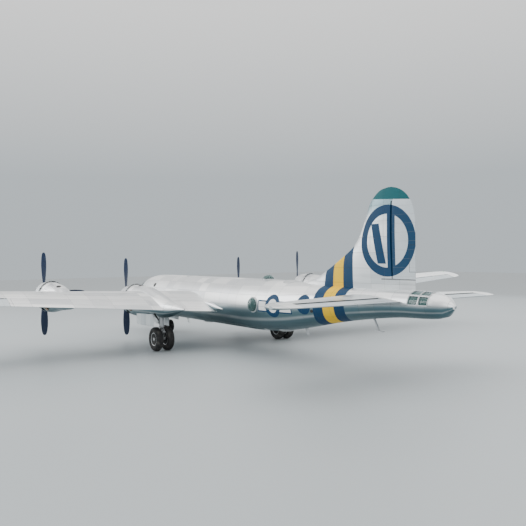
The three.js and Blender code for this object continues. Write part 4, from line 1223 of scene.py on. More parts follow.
def add_engines():
    barrel = cylinder_profile()
    for unit in UNITS:
        back = cowl_at(unit, COWL["depth"])
        case, iron = Shape().lathe(back, FORWARD, NOSE_CASE, 48), Shape()
        source = back + FORWARD * SPARK_RING["ahead"]
        for ahead, shift in CYLINDER_ROWS:
            for i in range(CYLINDERS):
                out, around = spoke(2 * pi * (i + shift) / CYLINDERS)
                middle = back + FORWARD * ahead
                iron.lathe(middle, out, barrel, 20)
                for hand in HANDS:
                    box = middle + out * ROCKER_BOX["out"] + around * hand * ROCKER_BOX["aside"]
                    iron.slab(box, ROCKER_BOX["size"], ROCKER_BOX["edge"], (FORWARD, around, out))
                    foot = back + FORWARD * PUSHROD["ahead"] + out * PUSHROD["out"]
                    foot += around * hand * PUSHROD["aside"]
                    if shift:
                        case.rod(foot, box + FORWARD * ROCKER_BOX["front"], PUSHROD["radius"], sides=8)
                if shift:
                    lead = [source + out * SPARK_RING["radius"]]
                    lead += [middle + FORWARD * fore + out * reach for fore, reach in LEAD["ends"]]
                    iron.pipe(lead, LEAD["radius"], 6)
        ring = ellipse(source, LEFT * SPARK_RING["radius"], UP * SPARK_RING["radius"], 40)
        case.pipe(ring + ring[:2], SPARK_RING["thick"])
        make(f"cylinders_{unit.name}", iron, "iron", replaces=[f"engine_{unit.name}"])
        make(f"crankcase_{unit.name}", case, "case")


# Wheels. The two faces of a wheel are alike
TYRE = (
    # share of the radius, share of the width from the wheel's middle
    (0.52, 0.36), (0.545, 0.4), (0.62, 0.455), (0.72, 0.495), (0.8, 0.5), (0.87, 0.475), (0.93, 0.41),
    (0.97, 0.32), (0.99, 0.24), (0.994, 0.2), (0.974, 0.195), (0.974, 0.165), (0.998, 0.16), (1.0, 0.08),
    (0.978, 0.075), (0.978, 0.045), (1.0, 0.04),
)
RIM = (
    (0.515, 0.0), (0.515, 0.3), (0.54, 0.36), (0.545, 0.385), (0.53, 0.392), (0.5, 0.375), (0.47, 0.3),
    (0.42, 0.24), (0.3, 0.19), (0.235, 0.2), (0.22, 0.27), (0.2, 0.3), (0.13, 0.315), (0.12, 0.36),
    (0.05, 0.375), (0.0, 0.375),
)
WHEEL_BOLTS = (
    # share of the radius, share of the width, size
    (0.39, 0.22, 0.014), (0.17, 0.31, 0.01),
)
BOLT_HEIGHT = 0.022
VALVE = {"aside": 0.35, "up": 0.46, "size": (0.014, 0.03, 0.03), "edge": 0.003}
MAIN = {"station": 12.3, "y": 4.34, "axle": 0.7039}
NOSE_GEAR = {"station": 3.95, "axle": 0.4511}
WHEELS = (
    # body, station, distance to the left, radius, width, distance between the two, axle
    ("main_wheels_left", MAIN["station"], MAIN["y"], MAIN["axle"], 0.4, 0.7, 0.062),
    ("main_wheels_right", MAIN["station"], -MAIN["y"], MAIN["axle"], 0.4, 0.7, 0.062),
    ("nose_wheels", NOSE_GEAR["station"], 0.0, NOSE_GEAR["axle"], 0.27, 0.44, 0.042),
)


def add_wheels():
    for body, station, y, radius, width, spacing, axle in WHEELS:
        tyre, hub = Shape(), Shape()
        half = [(r * radius, h * width) for r, h in TYRE]
        rim = [(r * radius, h * width) for r, h in RIM]
        for hand in HANDS:
            centre = at(station, y + hand * spacing / 2, radius)
            tyre.lathe(centre, LEFT, half + [(r, -h) for r, h in half[::-1]], 96)
            for face in HANDS:
                hub.lathe(centre, LEFT * face, rim, 64)
                for angle in turns(10):
                    out = FORWARD * cos(angle) + UP * sin(angle)
                    for share, reach, size in WHEEL_BOLTS:
                        bolt = centre + out * share * radius + LEFT * face * reach * width
                        hub.rod(bolt, bolt + LEFT * face * BOLT_HEIGHT, size, sides=6)
            valve = centre + LEFT * hand * width * VALVE["aside"] + UP * radius * VALVE["up"]
            hub.slab(valve, VALVE["size"], VALVE["edge"])
        middle, reach = at(station, y, radius), LEFT * spacing / 2
        hub.rod(middle - reach, middle + reach, axle, sides=32)
        make(f"{body}_tyres", tyre, "tyre", body, [body])
        make(f"{body}_hubs", hub, "gear", body)


# Fuselage

NOSE_SHAPE = {"length": 4.0, "radius": 1.45, "drop": 0.13, "tip": 0.09, "fullness": 2.2}
BODY_SIDES = 96
END = 30.18
JOINTS = {"nose": 5.5, "centre": 16.5, "rear": 24}  # stations where the sections end
HULL_STATIONS = [NOSE_SHAPE["length"] * (1 - cos(a)) for a in steps(0, pi / 2, 30)]
HULL_STATIONS += steps(NOSE_SHAPE["length"], END, 66)[1:]
HULL_GAP = 0.001
SLOPE_STEP = 0.01
WALL = 0.06
TAIL_WALL = 0.045
SEAM = 0.0006
PANE_GLASS = 0.014
FRAME_END = 2.88
CABINS = ((16.9, 21.0), (21.3, 23.8))
TAIL_CABIN = (24.2, 29.7)
EYE = {
    "radius": 0.25, "cut": (-0.3, 0.22), "cut_height": 2.62, "station": 0.06, "height": 2.622, "gap": 0.004,
    "crown": 0.0575, "back": -0.05,
}
NOSE_PANES = (
    # from, to, first and last angle, count, degrees of bar between them
    (0.24, 0.675, -90, 270, 8, 6), (0.735, 1.295, -30, 210, 8, 4), (1.355, 2.065, 0, 180, 6, 3.5),
    (2.125, 2.85, 0, 30, 1, 3), (2.125, 2.85, 150, 180, 1, 3),
)
TAIL_PANES = ((28.15, 28.65, 0, 180, 4, 8), (28.72, 29.16, 0, 180, 4, 8))
PANE_DEPTH = (0.55, 1.3)  # of a window cutter, in shares of the radius
NOSE_GLASS = (0.05, FRAME_END)
TAIL_GLASS = (28.06, 29.195)
BAR_HOOPS = (
    # station, first and last angle
    (0.21, -90, 270), (0.705, -90, 270), (1.325, -30, 210), (2.095, 0, 180), (2.86, 0, 30), (2.86, 150, 180),
    (28.12, 0, 180), (28.685, 0, 180), (29.19, 0, 180),
)
BAR = {"proud": 0.007, "wide": 0.04, "lift": 0.002, "radius": 0.011, "past": 0.03}
BAYS = {"front": (5.9, 9.2), "back": (12.4, 16.2)}
BAY_CUT = {"half": 0.76, "low": 1, "high": 2.75}
BAY_HINGE = (0.72, 1.5134)
BAY_RIBS = {"inset": 0.05, "angles": (-55, 235), "high": 0.05, "wide": 0.03}
STRINGERS = {"angles": (-50, 230), "depth": 0.012, "radius": 0.013}
ENTRY = {"from": 21.48, "to": 22.24, "low": 2.52, "high": 3.45, "inner": -0.5, "outer": -3}
DOMES = (
    # name, station, radius, rise, side
    ("left", 17.67, 0.38, 0.25, 1), ("right", 17.67, 0.38, 0.25, -1), ("top", 17.15, 0.33, 0.24, 0),
)
DOME_HEIGHT = 2.86
DOME_CUT = 0.4
DOME_FOOT = -0.07
DOME_RIM = (
    # distance out from the glass, lift
    (0.002, -0.1), (0.045, -0.1), (0.045, 0.004), (0.03, 0.016), (0.002, 0.018), (0.002, -0.1),
)
DOME_BOLT = {"out": 0.024, "lift": 0.008, "length": 0.016, "radius": 0.009, "count": 20}
NOSE_WELL = {"from": 2.92, "to": 5.05, "half": 0.4, "low": 1, "top": 1.9}


def body_at(station):
    """Radius and height of the fuselage's axis."""
    shape = NOSE_SHAPE
    if station < shape["length"]:
        left = 1 - max(0.0, station) / shape["length"]
        radius = shape["radius"] * sqrt(1 - left ** shape["fullness"])
        return max(shape["tip"], radius), BODY[0][2] - shape["drop"] * left**2
    return curve_at(BODY, station)


def body_spot(station, angle, grow=0.0, side=1):
    radius, height = body_at(station)
    return at(station, side * (radius + grow) * cos(angle), height + (radius + grow) * sin(angle))


def hull(start, end, depth=0.0):
    """The fuselage between two stations, drawn in by a depth square to its skin."""
    between = [s for s in HULL_STATIONS if start + HULL_GAP < s < end - HULL_GAP]
    rings = []
    for station in [start, *between, end]:
        radius, height = body_at(station)
        curved = depth and station < NOSE_SHAPE["length"]
        slope = (body_at(station + SLOPE_STEP)[0] - radius) / SLOPE_STEP if curved else 0.0
        reach = radius - depth / hypot(1, slope)
        centre = at(station + depth * slope / hypot(1, slope), 0, height)
        rings.append(ellipse(centre, LEFT * reach, UP * reach, BODY_SIDES))
    return rings


def hull_cut(start, end, depth=WALL):
    return Shape().loft(hull(start, end, depth))


def block(s0, s1, y0, y1, z0, z1):
    size = (s1 - s0, y1 - y0, z1 - z0)
    return Shape().slab(at((s0 + s1) / 2, (y0 + y1) / 2, (z0 + z1) / 2), size, 0)


def panes(rows):
    """Wedges that cut the window openings."""
    shape = Shape()
    deep, far = PANE_DEPTH
    for start, end, first, last, count, bar in rows:
        width = (last - first) / count
        for i in range(count):
            low, high = radians(first + i * width + bar / 2), radians(first + (i + 1) * width - bar / 2)
            rings = []
            for station in (start, end):
                radius = body_at(station)[0]
                corners = ((deep, low), (far, low), (far, high), (deep, high))
                rings.append([body_spot(station, angle, radius * (share - 1)) for share, angle in corners])
            shape.loft(rings)
    return shape


def dome_place(station, side):
    radius, height = body_at(station)
    if not side:
        return at(station, 0, height + radius), UP
    return at(station, side * sqrt(radius**2 - (DOME_HEIGHT - height) ** 2), DOME_HEIGHT), LEFT * side


def hoop(shape, station, low, high, depth, height, width, side=1, count=40):
    """A rib inside the skin: an arc of square section."""
    half, deep = width / 2, -depth - height
    corners = ((-half, -depth), (half, -depth), (half, deep), (-half, deep))
    angles = steps(low, high, count)
    shape.loft([[body_spot(station + s, a, grow, side) for s, grow in corners] for a in angles])


def add_fuselage():
    eye_cut = Shape().rod(*(at(s, 0, EYE["cut_height"]) for s in EYE["cut"]), EYE["radius"], sides=64)
    bay_cuts, ribs = [], Shape()
    low, high = (radians(a) for a in BAY_RIBS["angles"])
    for start, end in BAYS.values():
        half = BAY_CUT["half"]
        bay_cuts += [hull_cut(start, end), block(start, end, -half, half, BAY_CUT["low"], BAY_CUT["high"])]
        for station in steps(start + BAY_RIBS["inset"], end - BAY_RIBS["inset"], 7):
            hoop(ribs, station, low, high, WALL, BAY_RIBS["high"], BAY_RIBS["wide"])
        for angle in steps(*STRINGERS["angles"], 14):
            ends = [body_spot(s, radians(angle), -WALL - STRINGERS["depth"]) for s in (start, end)]
            ribs.rod(*ends, STRINGERS["radius"], sides=6)
    rear_cuts = [hull_cut(*cabin) for cabin in CABINS]
    for _, station, base, _, side in DOMES:
        centre, out = dome_place(station, side)
        rear_cuts.append(Shape().rod(centre - out * DOME_CUT, centre + out * DOME_CUT, base + SEAM, sides=64))
    entry = [ENTRY[key] for key in ("from", "to", "outer", "inner", "low", "high")]
    rear_cuts.append(block(*entry))
    half = NOSE_WELL["half"]
    well = block(NOSE_WELL["from"], NOSE_WELL["to"], -half, half, NOSE_WELL["low"], NOSE_WELL["top"])
    nose_end, centre_end, rear_end = (JOINTS[section] for section in ("nose", "centre", "rear"))
    for name, node, start, end, cutters in (
        ("nose_frame_skin", "nose_frame", 0, FRAME_END - SEAM,
         [hull_cut(0, FRAME_END + WALL), eye_cut, panes(NOSE_PANES)]),
        ("nose_skin", "nose_section", FRAME_END, nose_end - SEAM,
         [hull_cut(FRAME_END - WALL, nose_end - WALL), well]),
        ("centre_skin", "fuselage_centre", nose_end, centre_end - SEAM, bay_cuts),
        ("rear_skin", "fuselage_rear", centre_end, rear_end - SEAM, rear_cuts),
        ("tail_skin", "tail_section", rear_end, END, [hull_cut(*TAIL_CABIN, TAIL_WALL), panes(TAIL_PANES)]),
    ):
        make(name, Shape().loft(hull(start, end)), "body", replaces=[node], cutters=cutters)
    make("bay_ribs", ribs, "cabin")


def add_pane_shell(name, start, end, wall, node):
    """One shell of glass behind the window openings."""
    depth = wall + SEAM
    rings = hull(start, end, depth) + hull(start, end, depth + PANE_GLASS)[::-1]
    shape = Shape().loft(rings + rings[:1], caps=False)
    make(name, shape, "glass", replaces=[node])


def add_glazing():
    add_pane_shell("nose_panes", *NOSE_GLASS, WALL, "nose_glazing")
    reach = EYE["radius"] - EYE["gap"]
    lens = [(reach, EYE["back"])] + [(reach * t, EYE["crown"] * (1 - t * t)) for t in steps(1, 0, 10)]
    eye = Shape().lathe(at(EYE["station"], 0, EYE["height"]), FORWARD, lens, 64)
    make("nose_eye", eye, "glass")
    add_pane_shell("tail_panes", *TAIL_GLASS, TAIL_WALL, "tail_glazing")
    bars = Shape()
    for station, low, high in BAR_HOOPS:
        hoop(bars, station, radians(low), radians(high), -BAR["proud"], BAR["proud"], BAR["wide"], count=60)
    for start, end, first, last, count, _ in NOSE_PANES + TAIL_PANES:
        for angle in steps(first, last, count):
            stations = steps(start - BAR["past"], end + BAR["past"], 10)
            bars.pipe([body_spot(s, radians(angle), BAR["lift"]) for s in stations], BAR["radius"], 6)
    make("glazing_bars", bars, "gear")
    rims, bolt = Shape(), DOME_BOLT
    for name, station, base, rise, side in DOMES:
        centre, out = dome_place(station, side)
        thin, foot = base - PANE_GLASS, DOME_FOOT
        profile = [(base, foot)] + [(base * cos(a), rise * sin(a)) for a in steps(0, pi / 2, 14)]
        profile += [(thin * cos(a), (rise - PANE_GLASS) * sin(a)) for a in steps(pi / 2, 0, 14)]
        profile += [(thin, foot), (base, foot)]
        glass = Shape().lathe(centre, out, profile, 64)
        make(f"dome_glass_{name}", glass, "glass", replaces=[f"dome_{name}"])
        rims.lathe(centre, out, [(base + reach, lift) for reach, lift in DOME_RIM], 64)
        side_way, up_way = square_to(out)
        for angle in turns(bolt["count"]):
            aside = (side_way * cos(angle) + up_way * sin(angle)) * (base + bolt["out"])
            head = centre + aside + out * bolt["lift"]
            rims.rod(head, head + out * bolt["length"], bolt["radius"], sides=6)
    make("dome_rims", rims, "gear")


BAY_DOOR = {"inner": 0.006, "outer": 0.732, "thick": 0.018, "columns": 20, "rows": 14}
DOOR_RIB = {"inset": 0.06, "edge": 0.01, "depth": 0.016, "high": 0.034, "wide": 0.03, "count": 8}
DOOR_BEAM = {"edge": 0.012, "depth": -0.035, "inset": 0.02, "radius": 0.014}
HINGE_PIN = {"past": 0.03, "radius": 0.009}
ENTRY_DOOR = {
    "front": 0.022, "rear": 0.026, "thick": 0.05, "pin": 0.042, "pin_y": -0.936, "pin_past": 0.02,
    "pin_radius": 0.01,
}
ENTRY_GRIP = ((22.12, -1.035, 2.9), (22.12, -1.075, 2.9), (22.12, -1.08, 2.94), (22.12, -1.075, 3.06))
GRIP_RADIUS = 0.012


def add_bay_door(node, start, end, side):
    low, high = (-acos(BAY_DOOR[edge] / BODY[0][1]) for edge in ("inner", "outer"))
    rings = []
    for station in steps(start + END_GAP, end - END_GAP, BAY_DOOR["columns"]):
        outer = [body_spot(station, a, 0, side) for a in steps(low, high, BAY_DOOR["rows"])]
        inner = [body_spot(station, a, -BAY_DOOR["thick"], side) for a in steps(high, low, BAY_DOOR["rows"])]
        rings.append(outer + inner)
    shape = Shape().loft(rings)
    rib, long_beam = DOOR_RIB, DOOR_BEAM
    arc = (low + rib["edge"], high - rib["edge"])
    for station in steps(start + rib["inset"], end - rib["inset"], rib["count"]):
        hoop(shape, station, *arc, rib["depth"], rib["high"], rib["wide"], side, 12)
    ends = (start + long_beam["inset"], end - long_beam["inset"])
    for angle in (low + long_beam["edge"], (low + high) / 2, high - long_beam["edge"]):
        shape.pipe([body_spot(s, angle, long_beam["depth"], side) for s in ends], long_beam["radius"], 6)
    y, z = side * BAY_HINGE[0], BAY_HINGE[1]
    past = HINGE_PIN["past"]
    shape.rod(at(start - past, y, z), at(end + past, y, z), HINGE_PIN["radius"], sides=10)
    make(f"{node}_skin", shape, "body", node, replaces=[node])


def add_doors():
    for name, side in SIDES:
        for place, (start, end) in BAYS.items():
            add_bay_door(f"bay_door_{place}_{name}", start, end, side)
    row = ENTRY_DOOR
    rings = []
    for station in steps(ENTRY["from"] + row["front"], ENTRY["to"] - row["rear"], 12):
        radius, height = body_at(station)
        ring = []
        for reach, order in ((radius, 1), (radius - row["thick"], -1)):
            for z in steps(ENTRY["low"] + END_GAP, ENTRY["high"] - END_GAP, 16)[::order]:
                ring.append(at(station, -sqrt(reach**2 - (z - height) ** 2), z))
        rings.append(ring)
    door = Shape().loft(rings)
    pin = ENTRY["from"] + row["pin"]
    foot = at(pin, row["pin_y"], ENTRY["low"] - row["pin_past"])
    door.rod(foot, at(pin, row["pin_y"], ENTRY["high"] + row["pin_past"]), row["pin_radius"], sides=10)
    make("entry_door_skin", door, "body", "entry_door", replaces=["entry_door"])
    lever = Shape().pipe([at(*point) for point in ENTRY_GRIP], GRIP_RADIUS)
    make("entry_handle", lever, "gear", "entry_door")


# What stands on the skins

# A disc's profile: share of its radius, lift above the surface
PLATE = ((0, 0.016), (0.5, 0.016), (0.93, 0.016), (0.98, 0.012), (1.0, 0.003), (1.0, -0.01))
BLANK = ((0, 0.06), (0.3, 0.059), (0.6, 0.05), (0.8, 0.036), (0.93, 0.016), (1.0, 0.012), (1.0, -0.02))
PORTHOLE = ((0, 0.008), (0.78, 0.008), (0.8, 0.02), (0.95, 0.022), (1.0, 0.014), (1.0, -0.01))
LENS = ((0, 0.012), (0.8, 0.01), (1, 0.002), (1.0, -0.01))
LENS_RING = ((0.84, -0.01), (0.84, 0.014), (0.97, 0.014), (1.0, 0.0), (1.0, -0.02))
BODY_DISCS = (
    # station, degrees up from level, radius, profile, material, on both sides
    (19.45, 90, 0.52, BLANK, "gear", False), (22.25, -15, 0.085, PORTHOLE, "black", True),
    (17.67, -70, 0.16, PLATE, "gear", True), (8.0, 90, 0.42, PLATE, "gear", False),
    (4.7, 90, 0.3, PLATE, "gear", False), (10.4, -90, 0.5, BLANK, "gear", False),
    (19.0, -90, 0.5, BLANK, "gear", False), (23.0, 10, 0.14, PORTHOLE, "black", True),
    (4.55, 32, 0.16, PORTHOLE, "black", True),
)


def disc_on(shape, place, radius, profile, sides=28):
    """A disc that follows a surface. place(du, dv, lift) gives its points."""
    rings = []
    for share, lift in profile:
        rings.append([place(radius * share * cos(a), radius * share * sin(a), lift) for a in turns(sides)])
    shape.loft(rings)


def add_body_discs():
    groups = {}
    for station, degrees, radius, profile, material, both in BODY_DISCS:
        def place(du, dv, lift, side):
            turn = radians(degrees) + dv / body_at(station)[0]
            return body_spot(station + du, turn, lift, side)

        for side in (1, -1) if both else (1,):
            disc_on(groups.setdefault(material, Shape()), partial(place, side=side), radius, profile)
    for material, shape in groups.items():
        make(f"body_fittings_{material}", shape, material)


COWL_FLAPS = {
    "from": 0.94, "to": 1.3, "low": -62, "high": 242, "count": 14, "gap": 0.8, "lift": 0.006, "open": 0.055,
    "thick": 0.01,
}
TURBO = (
    (0, 0.02), (0.11, 0.02), (0.12, 0.035), (0.13, 0.02), (0.2, 0.015), (0.21, 0.045), (0.25, 0.05),
    (0.262, 0.02), (0.262, -0.12),
)
TURBO_PLACE = {"aft": 2.05, "inner": 68, "outer": 52, "depth": -0.1}
HOOD = {"points": ((0.03, 0.25, 0.1), (0.08, 0.42, 0.12), (0.07, 0.6, 0.1)), "radius": 0.085}  # out, aft, up
PORT = {"inner": 2.3, "outer": 2.97, "angle": 83, "round": 0.7, "radius": 0.14}
GRILLE = {"aft": 0.46, "radii": (0.6, 0.63, 0.66), "arc": (-122, -58), "thick": 0.006}


def add_cowl_flaps(unit):
    row, shape = COWL_FLAPS, Shape()
    width = (row["high"] - row["low"]) / row["count"]
    for i in range(row["count"]):
        low = radians(row["low"] + i * width + row["gap"])
        high = radians(row["low"] + (i + 1) * width - row["gap"])
        rings = []
        for t in (0, 0.25, 1):
            aft, grow = mix(row["from"], row["to"], t), row["lift"] + row["open"] * t
            outer = [nacelle_spot(unit, aft, a, grow) for a in steps(low, high, 6)]
            inside = [nacelle_spot(unit, aft, a, grow - row["thick"]) for a in steps(high, low, 6)]
            rings.append(outer + inside)
        shape.loft(rings)
    make(f"cowl_flaps_{unit.name}", shape, nacelle_kind(unit)[1])


def add_nacelle_details():
    for unit in UNITS:
        which = "inner" if unit.inner else "outer"
        add_cowl_flaps(unit)
        burnt, black = Shape(), Shape()
        for hand in HANDS:
            angle = radians(-90 + hand * TURBO_PLACE[which])
            foot = nacelle_spot(unit, TURBO_PLACE["aft"], angle)
            out = (foot - nacelle_spot(unit, TURBO_PLACE["aft"], angle, TURBO_PLACE["depth"])).normalized()
            burnt.lathe(foot, out, TURBO, 40)
            hood = [foot + out * reach - FORWARD * aft + UP * rise for reach, aft, rise in HOOD["points"]]
            burnt.pipe(hood, HOOD["radius"], 20)

        def port(du, dv, lift):
            return nacelle_spot(unit, PORT[which] + du, radians(PORT["angle"]) + dv / PORT["round"], lift)

        disc_on(black, port, PORT["radius"], PORTHOLE)
        for radius in GRILLE["radii"]:
            arc = lip_arc(cowl_at(unit, GRILLE["aft"]), radius, *GRILLE["arc"], 12)
            black.pipe(arc, GRILLE["thick"], 6)
        make(f"turbos_{unit.name}", burnt, "burnt")
        make(f"nacelle_ports_{unit.name}", black, "black")


# Landing gear. Heights are above the ground, and "aft" is behind the wheels' axle

STRUT = (
    (0.1, 0.0), (0.135, 0.0), (0.145, 0.01), (0.145, 0.06), (0.13, 0.075), (0.13, 0.42), (0.146, 0.43),
    (0.146, 0.5), (0.13, 0.51), (0.13, 0.88), (0.15, 0.9), (0.15, 1.05), (0.13, 1.07), (0.13, 1.199),
    (0.05, 1.199),
)
MAIN_LEG = {
    "foot": 1.36,
    "eye": {"half": 0.132, "radius": 0.12, "sides": 40},
    "oleo": {"above": 0.1, "top": 1.4, "radius": 0.085},
    "shaft": {"z": 2.33, "half": 0.518, "radius": 0.075, "sides": 28},
    "brace": {"low": 1.56, "station": 10.55, "high": 2.485, "radius": 0.05, "sides": 24},
    "block": {"station": 10.53, "z": 2.5, "size": (0.26, 0.24, 0.118), "edge": 0.02},
    "links": {"points": ((0.08, 1.42), (0.33, 1.13), (0.08, 0.8)), "aside": 0.07, "knee": 0.5,
              "upper": 0.035, "lower": 0.03, "deep": 0.07},
    "pin": {"aft": 0.33, "z": 1.13, "half": 0.09, "radius": 0.03, "sides": 16},
    "arm": {"ends": ((-0.1, 1.56), (-0.3, 1.66)), "thick": 0.03, "deep": 0.09},
}
BRAKE_PIPE = {
    # aft, distance to the side, height
    "points": (
        (0.14, 0.05, 2.3), (0.14, 0.05, 1.9), (0.14, 0.05, 1.56), (0.115, 0.06, 1.44), (0.09, 0.06, 1.38),
    ),
    "radius": 0.01,
    "clips": ((0.135, 0.05, 1.7), (0.135, 0.05, 2.05)),
    "clip": (0.03, 0.035, 0.03),
    "clip_edge": 0.006,
}
MAIN_DOOR = {
    "gap": 0.0186, "place": (11.05, 1.78), "size": (2.42, 0.02, 0.72), "edge": 0.006, "inward": 0.009,
    "ribs": (9.95, 12.15), "rib": (0.05, 0.018, 0.64),
    "beams": (1.5, 1.78, 2.06), "beam": (2.3, 0.018, 0.045),
}
NOSE_LEG = {
    "foot": 1.5, "top": 1.894, "radius": 0.115,
    "eye": {"half": 0.067, "radius": 0.085, "sides": 32},
    "oleo": {"foot": 0.53, "top": 1.04, "radius": 0.06},
    "shaft": {"z": 1.764, "half": 0.399, "radius": 0.055, "sides": 24},
    "brace": {"low": 1.56, "station": 4.88, "high": 1.834, "radius": 0.042, "sides": 20},
    "block": {"station": 4.88, "z": 1.84, "size": (0.2, 0.16, 0.108), "edge": 0.015},
    "links": {"points": ((0.06, 1.06), (0.25, 0.87), (0.05, 0.62)), "aside": 0.045, "knee": 0.6,
              "upper": 0.025, "lower": 0.025, "deep": 0.05},
}
FORK = (
    (0.07, 0), (0.098, 0.0), (0.105, 0.01), (0.105, 0.05), (0.092, 0.06), (0.092, 0.42), (0.1, 0.43),
    (0.1, 0.4794), (0.07, 0.4794),
)
FORK_FOOT = 1.02
NOSE_DOOR = {
    "y": 0.3854, "place": (3.985, 1.265), "size": (2.05, 0.016, 0.59), "edge": 0.005, "inward": 0.012,
    "ribs": (3.05, 4.92), "rib": (0.04, 0.014, 0.53), "beams": (), "beam": None,
}


def smooth_path(points, count=18):
    rows = [(i, *point) for i, point in enumerate(points)]
    return [Vector(curve_at(rows, t)) for t in steps(0, len(points) - 1, count)]


def beam(shape, start, end, width, depth, edge=0.012):
    """A flat bar between two points. Its width lies across the aircraft."""
    along = (end - start).normalized()
    up = along.cross(LEFT).normalized()
    shape.slab((start + end) / 2, ((end - start).length, width, depth), edge, (along, LEFT, up))


def cross_rod(shape, station, y, z, row):
    """A round bar across the aircraft."""
    ends = (at(station, y - row["half"], z), at(station, y + row["half"], z))
    shape.rod(*ends, row["radius"], sides=row["sides"])


def leg_top(shape, leg, station, y):
    """A leg's cross shaft, its brace and the block that holds the brace."""
    brace, held = leg["brace"], leg["block"]
    cross_rod(shape, station, y, leg["shaft"]["z"], leg["shaft"])
    ends = (at(station, y, brace["low"]), at(brace["station"], y, brace["high"]))
    shape.rod(*ends, brace["radius"], sides=brace["sides"])
    shape.slab(at(held["station"], y, held["z"]), held["size"], held["edge"])


def torque_links(shape, row, station, y):
    """On each side of a leg, two flat links that meet at a knee behind it."""
    for hand in HANDS:
        shift = LEFT * row["aside"] * hand
        top, knee, foot = (at(station + aft, y, z) for aft, z in row["points"])
        knee += shift * row["knee"]
        beam(shape, top + shift, knee, row["upper"], row["deep"])
        beam(shape, knee, foot + shift, row["lower"], row["deep"])


def gear_door(row, y, toward):
    """A door with ribs on its inner face. toward is the side where the well lies."""
    station, z = row["place"]
    door = Shape().slab(at(station, y, z), row["size"], row["edge"])
    inner = y + toward * row["inward"]
    for rib in steps(*row["ribs"], 6):
        door.slab(at(rib, inner, z), row["rib"], row["edge"])
    for height in row["beams"]:
        door.slab(at(station, inner, height), row["beam"], row["edge"])
    return door


def add_main_leg(name, y):
    leg, s = MAIN_LEG, MAIN["station"]
    strut, bright, pipes = Shape(), Shape(), Shape()
    cross_rod(strut, s, y, MAIN["axle"], leg["eye"])
    oleo = (at(s, y, MAIN["axle"]) + UP * leg["oleo"]["above"], at(s, y, leg["oleo"]["top"]))
    bright.rod(*oleo, leg["oleo"]["radius"], sides=40)
    strut.lathe(at(s, y, leg["foot"]), UP, STRUT, 40)
    leg_top(strut, leg, s, y)
    torque_links(strut, leg["links"], s, y)
    cross_rod(strut, s + leg["pin"]["aft"], y, leg["pin"]["z"], leg["pin"])
    for hand in HANDS:
        shift = LEFT * leg["links"]["aside"] * hand
        arm = [at(s + aft, y, z) + shift for aft, z in leg["arm"]["ends"]]
        beam(strut, *arm, leg["arm"]["thick"], leg["arm"]["deep"])
        path = [at(s + aft, y + aside * hand, z) for aft, aside, z in BRAKE_PIPE["points"]]
        pipes.pipe(smooth_path(path), BRAKE_PIPE["radius"])
        for aft, aside, z in BRAKE_PIPE["clips"]:
            pipes.slab(at(s + aft, y + aside * hand, z), BRAKE_PIPE["clip"], BRAKE_PIPE["clip_edge"])
    make(f"main_strut_{name}", strut, "gear", replaces=[f"main_leg_{name}"])
    make(f"main_oleo_{name}", bright, "chrome")
    make(f"brake_pipes_{name}", pipes, "case")


def add_nose_leg():
    leg, s = NOSE_LEG, NOSE_GEAR["station"]
    strut, fork, bright = Shape(), Shape(), Shape()
    thinner = leg["radius"] / STRUT[4][0]
    shorter = (leg["top"] - leg["foot"]) / STRUT[-1][1]
    strut.lathe(at(s, 0, leg["foot"]), UP, [(r * thinner, h * shorter) for r, h in STRUT], 36)
    leg_top(strut, leg, s, 0)
    cross_rod(fork, s, 0, NOSE_GEAR["axle"], leg["eye"])
    fork.lathe(at(s, 0, FORK_FOOT), UP, FORK, 32)
    torque_links(fork, leg["links"], s, 0)
    bright.rod(at(s, 0, leg["oleo"]["foot"]), at(s, 0, leg["oleo"]["top"]), leg["oleo"]["radius"], sides=32)
    make("nose_strut", strut, "gear", replaces=["nose_leg"])
    make("nose_fork_strut", fork, "gear", "nose_fork", ["nose_fork"])
    make("nose_oleo", bright, "chrome", "nose_fork")


def add_gear():
    for name, side in SIDES:
        y = side * MAIN["y"]
        add_main_leg(name, y)
        for place, hand in (("outer", side), ("inner", -side)):
            node = f"main_door_{name}_{place}"
            reach = (WELL["half"] - MAIN_DOOR["gap"]) * hand
            make(f"{node}_panel", gear_door(MAIN_DOOR, y + reach, -hand), "wing", replaces=[node])
    add_nose_leg()
    for name, side in SIDES:
        door = gear_door(NOSE_DOOR, side * NOSE_DOOR["y"], -side)
        make(f"nose_door_panel_{name}", door, "wing", replaces=[f"nose_door_{name}"])


# Cockpit. Heights are above the floor or, for a seat, above its pan

COCKPIT_FLOOR = 1.9606
SEAT = {
    "y": 0.52, "front": 2.06, "back": 2.61, "pan": 0.3, "half": 0.24, "pan_thick": 0.03, "pan_edge": 0.01,
    "rest": (2.6, 0.39), "rest_size": (0.03, 0.72), "rest_edge": 0.012, "rim": 0.03,
}
SEAT_LEGS = {"stations": (2.14, 2.5), "foot": 0.1, "into": 0.01, "radius": 0.018}
SEAT_ARM = {"points": ((2.58, 0.24), (2.3, 0.25), (2.2, 0.24)), "aside": 0.05, "radius": 0.022}
HEAD_POST = {"station": 2.57, "aside": 0.06, "low": 0.7, "high": 0.86, "radius": 0.012}
SEAT_RAIL = {"from": 2.1, "to": 2.56, "height": 0.01, "radius": 0.03}
PADS = (
    # name, station, height, length, width (or the seat's own), thickness, axes
    ("cushion", 2.3, 0.065, 0.46, None, 0.09, (FORWARD, LEFT, UP)),
    ("back", 2.55, 0.4, 0.6, None, 0.09, (UP, LEFT, FORWARD)),
    ("head", 2.55, 0.87, 0.16, 0.26, 0.08, (UP, LEFT, FORWARD)),
)
PAD = {"rows": 16, "sides": 64, "round": 0.45, "square": 5, "waist": 0.045, "crown": 0.82, "under": 0.6}
PAD_SEAM = {"lines": (-0.34, 0.34), "depth": 0.14, "width": 0.035}
PAD_PIPING = {"grow": 1.004, "radius": 0.006}
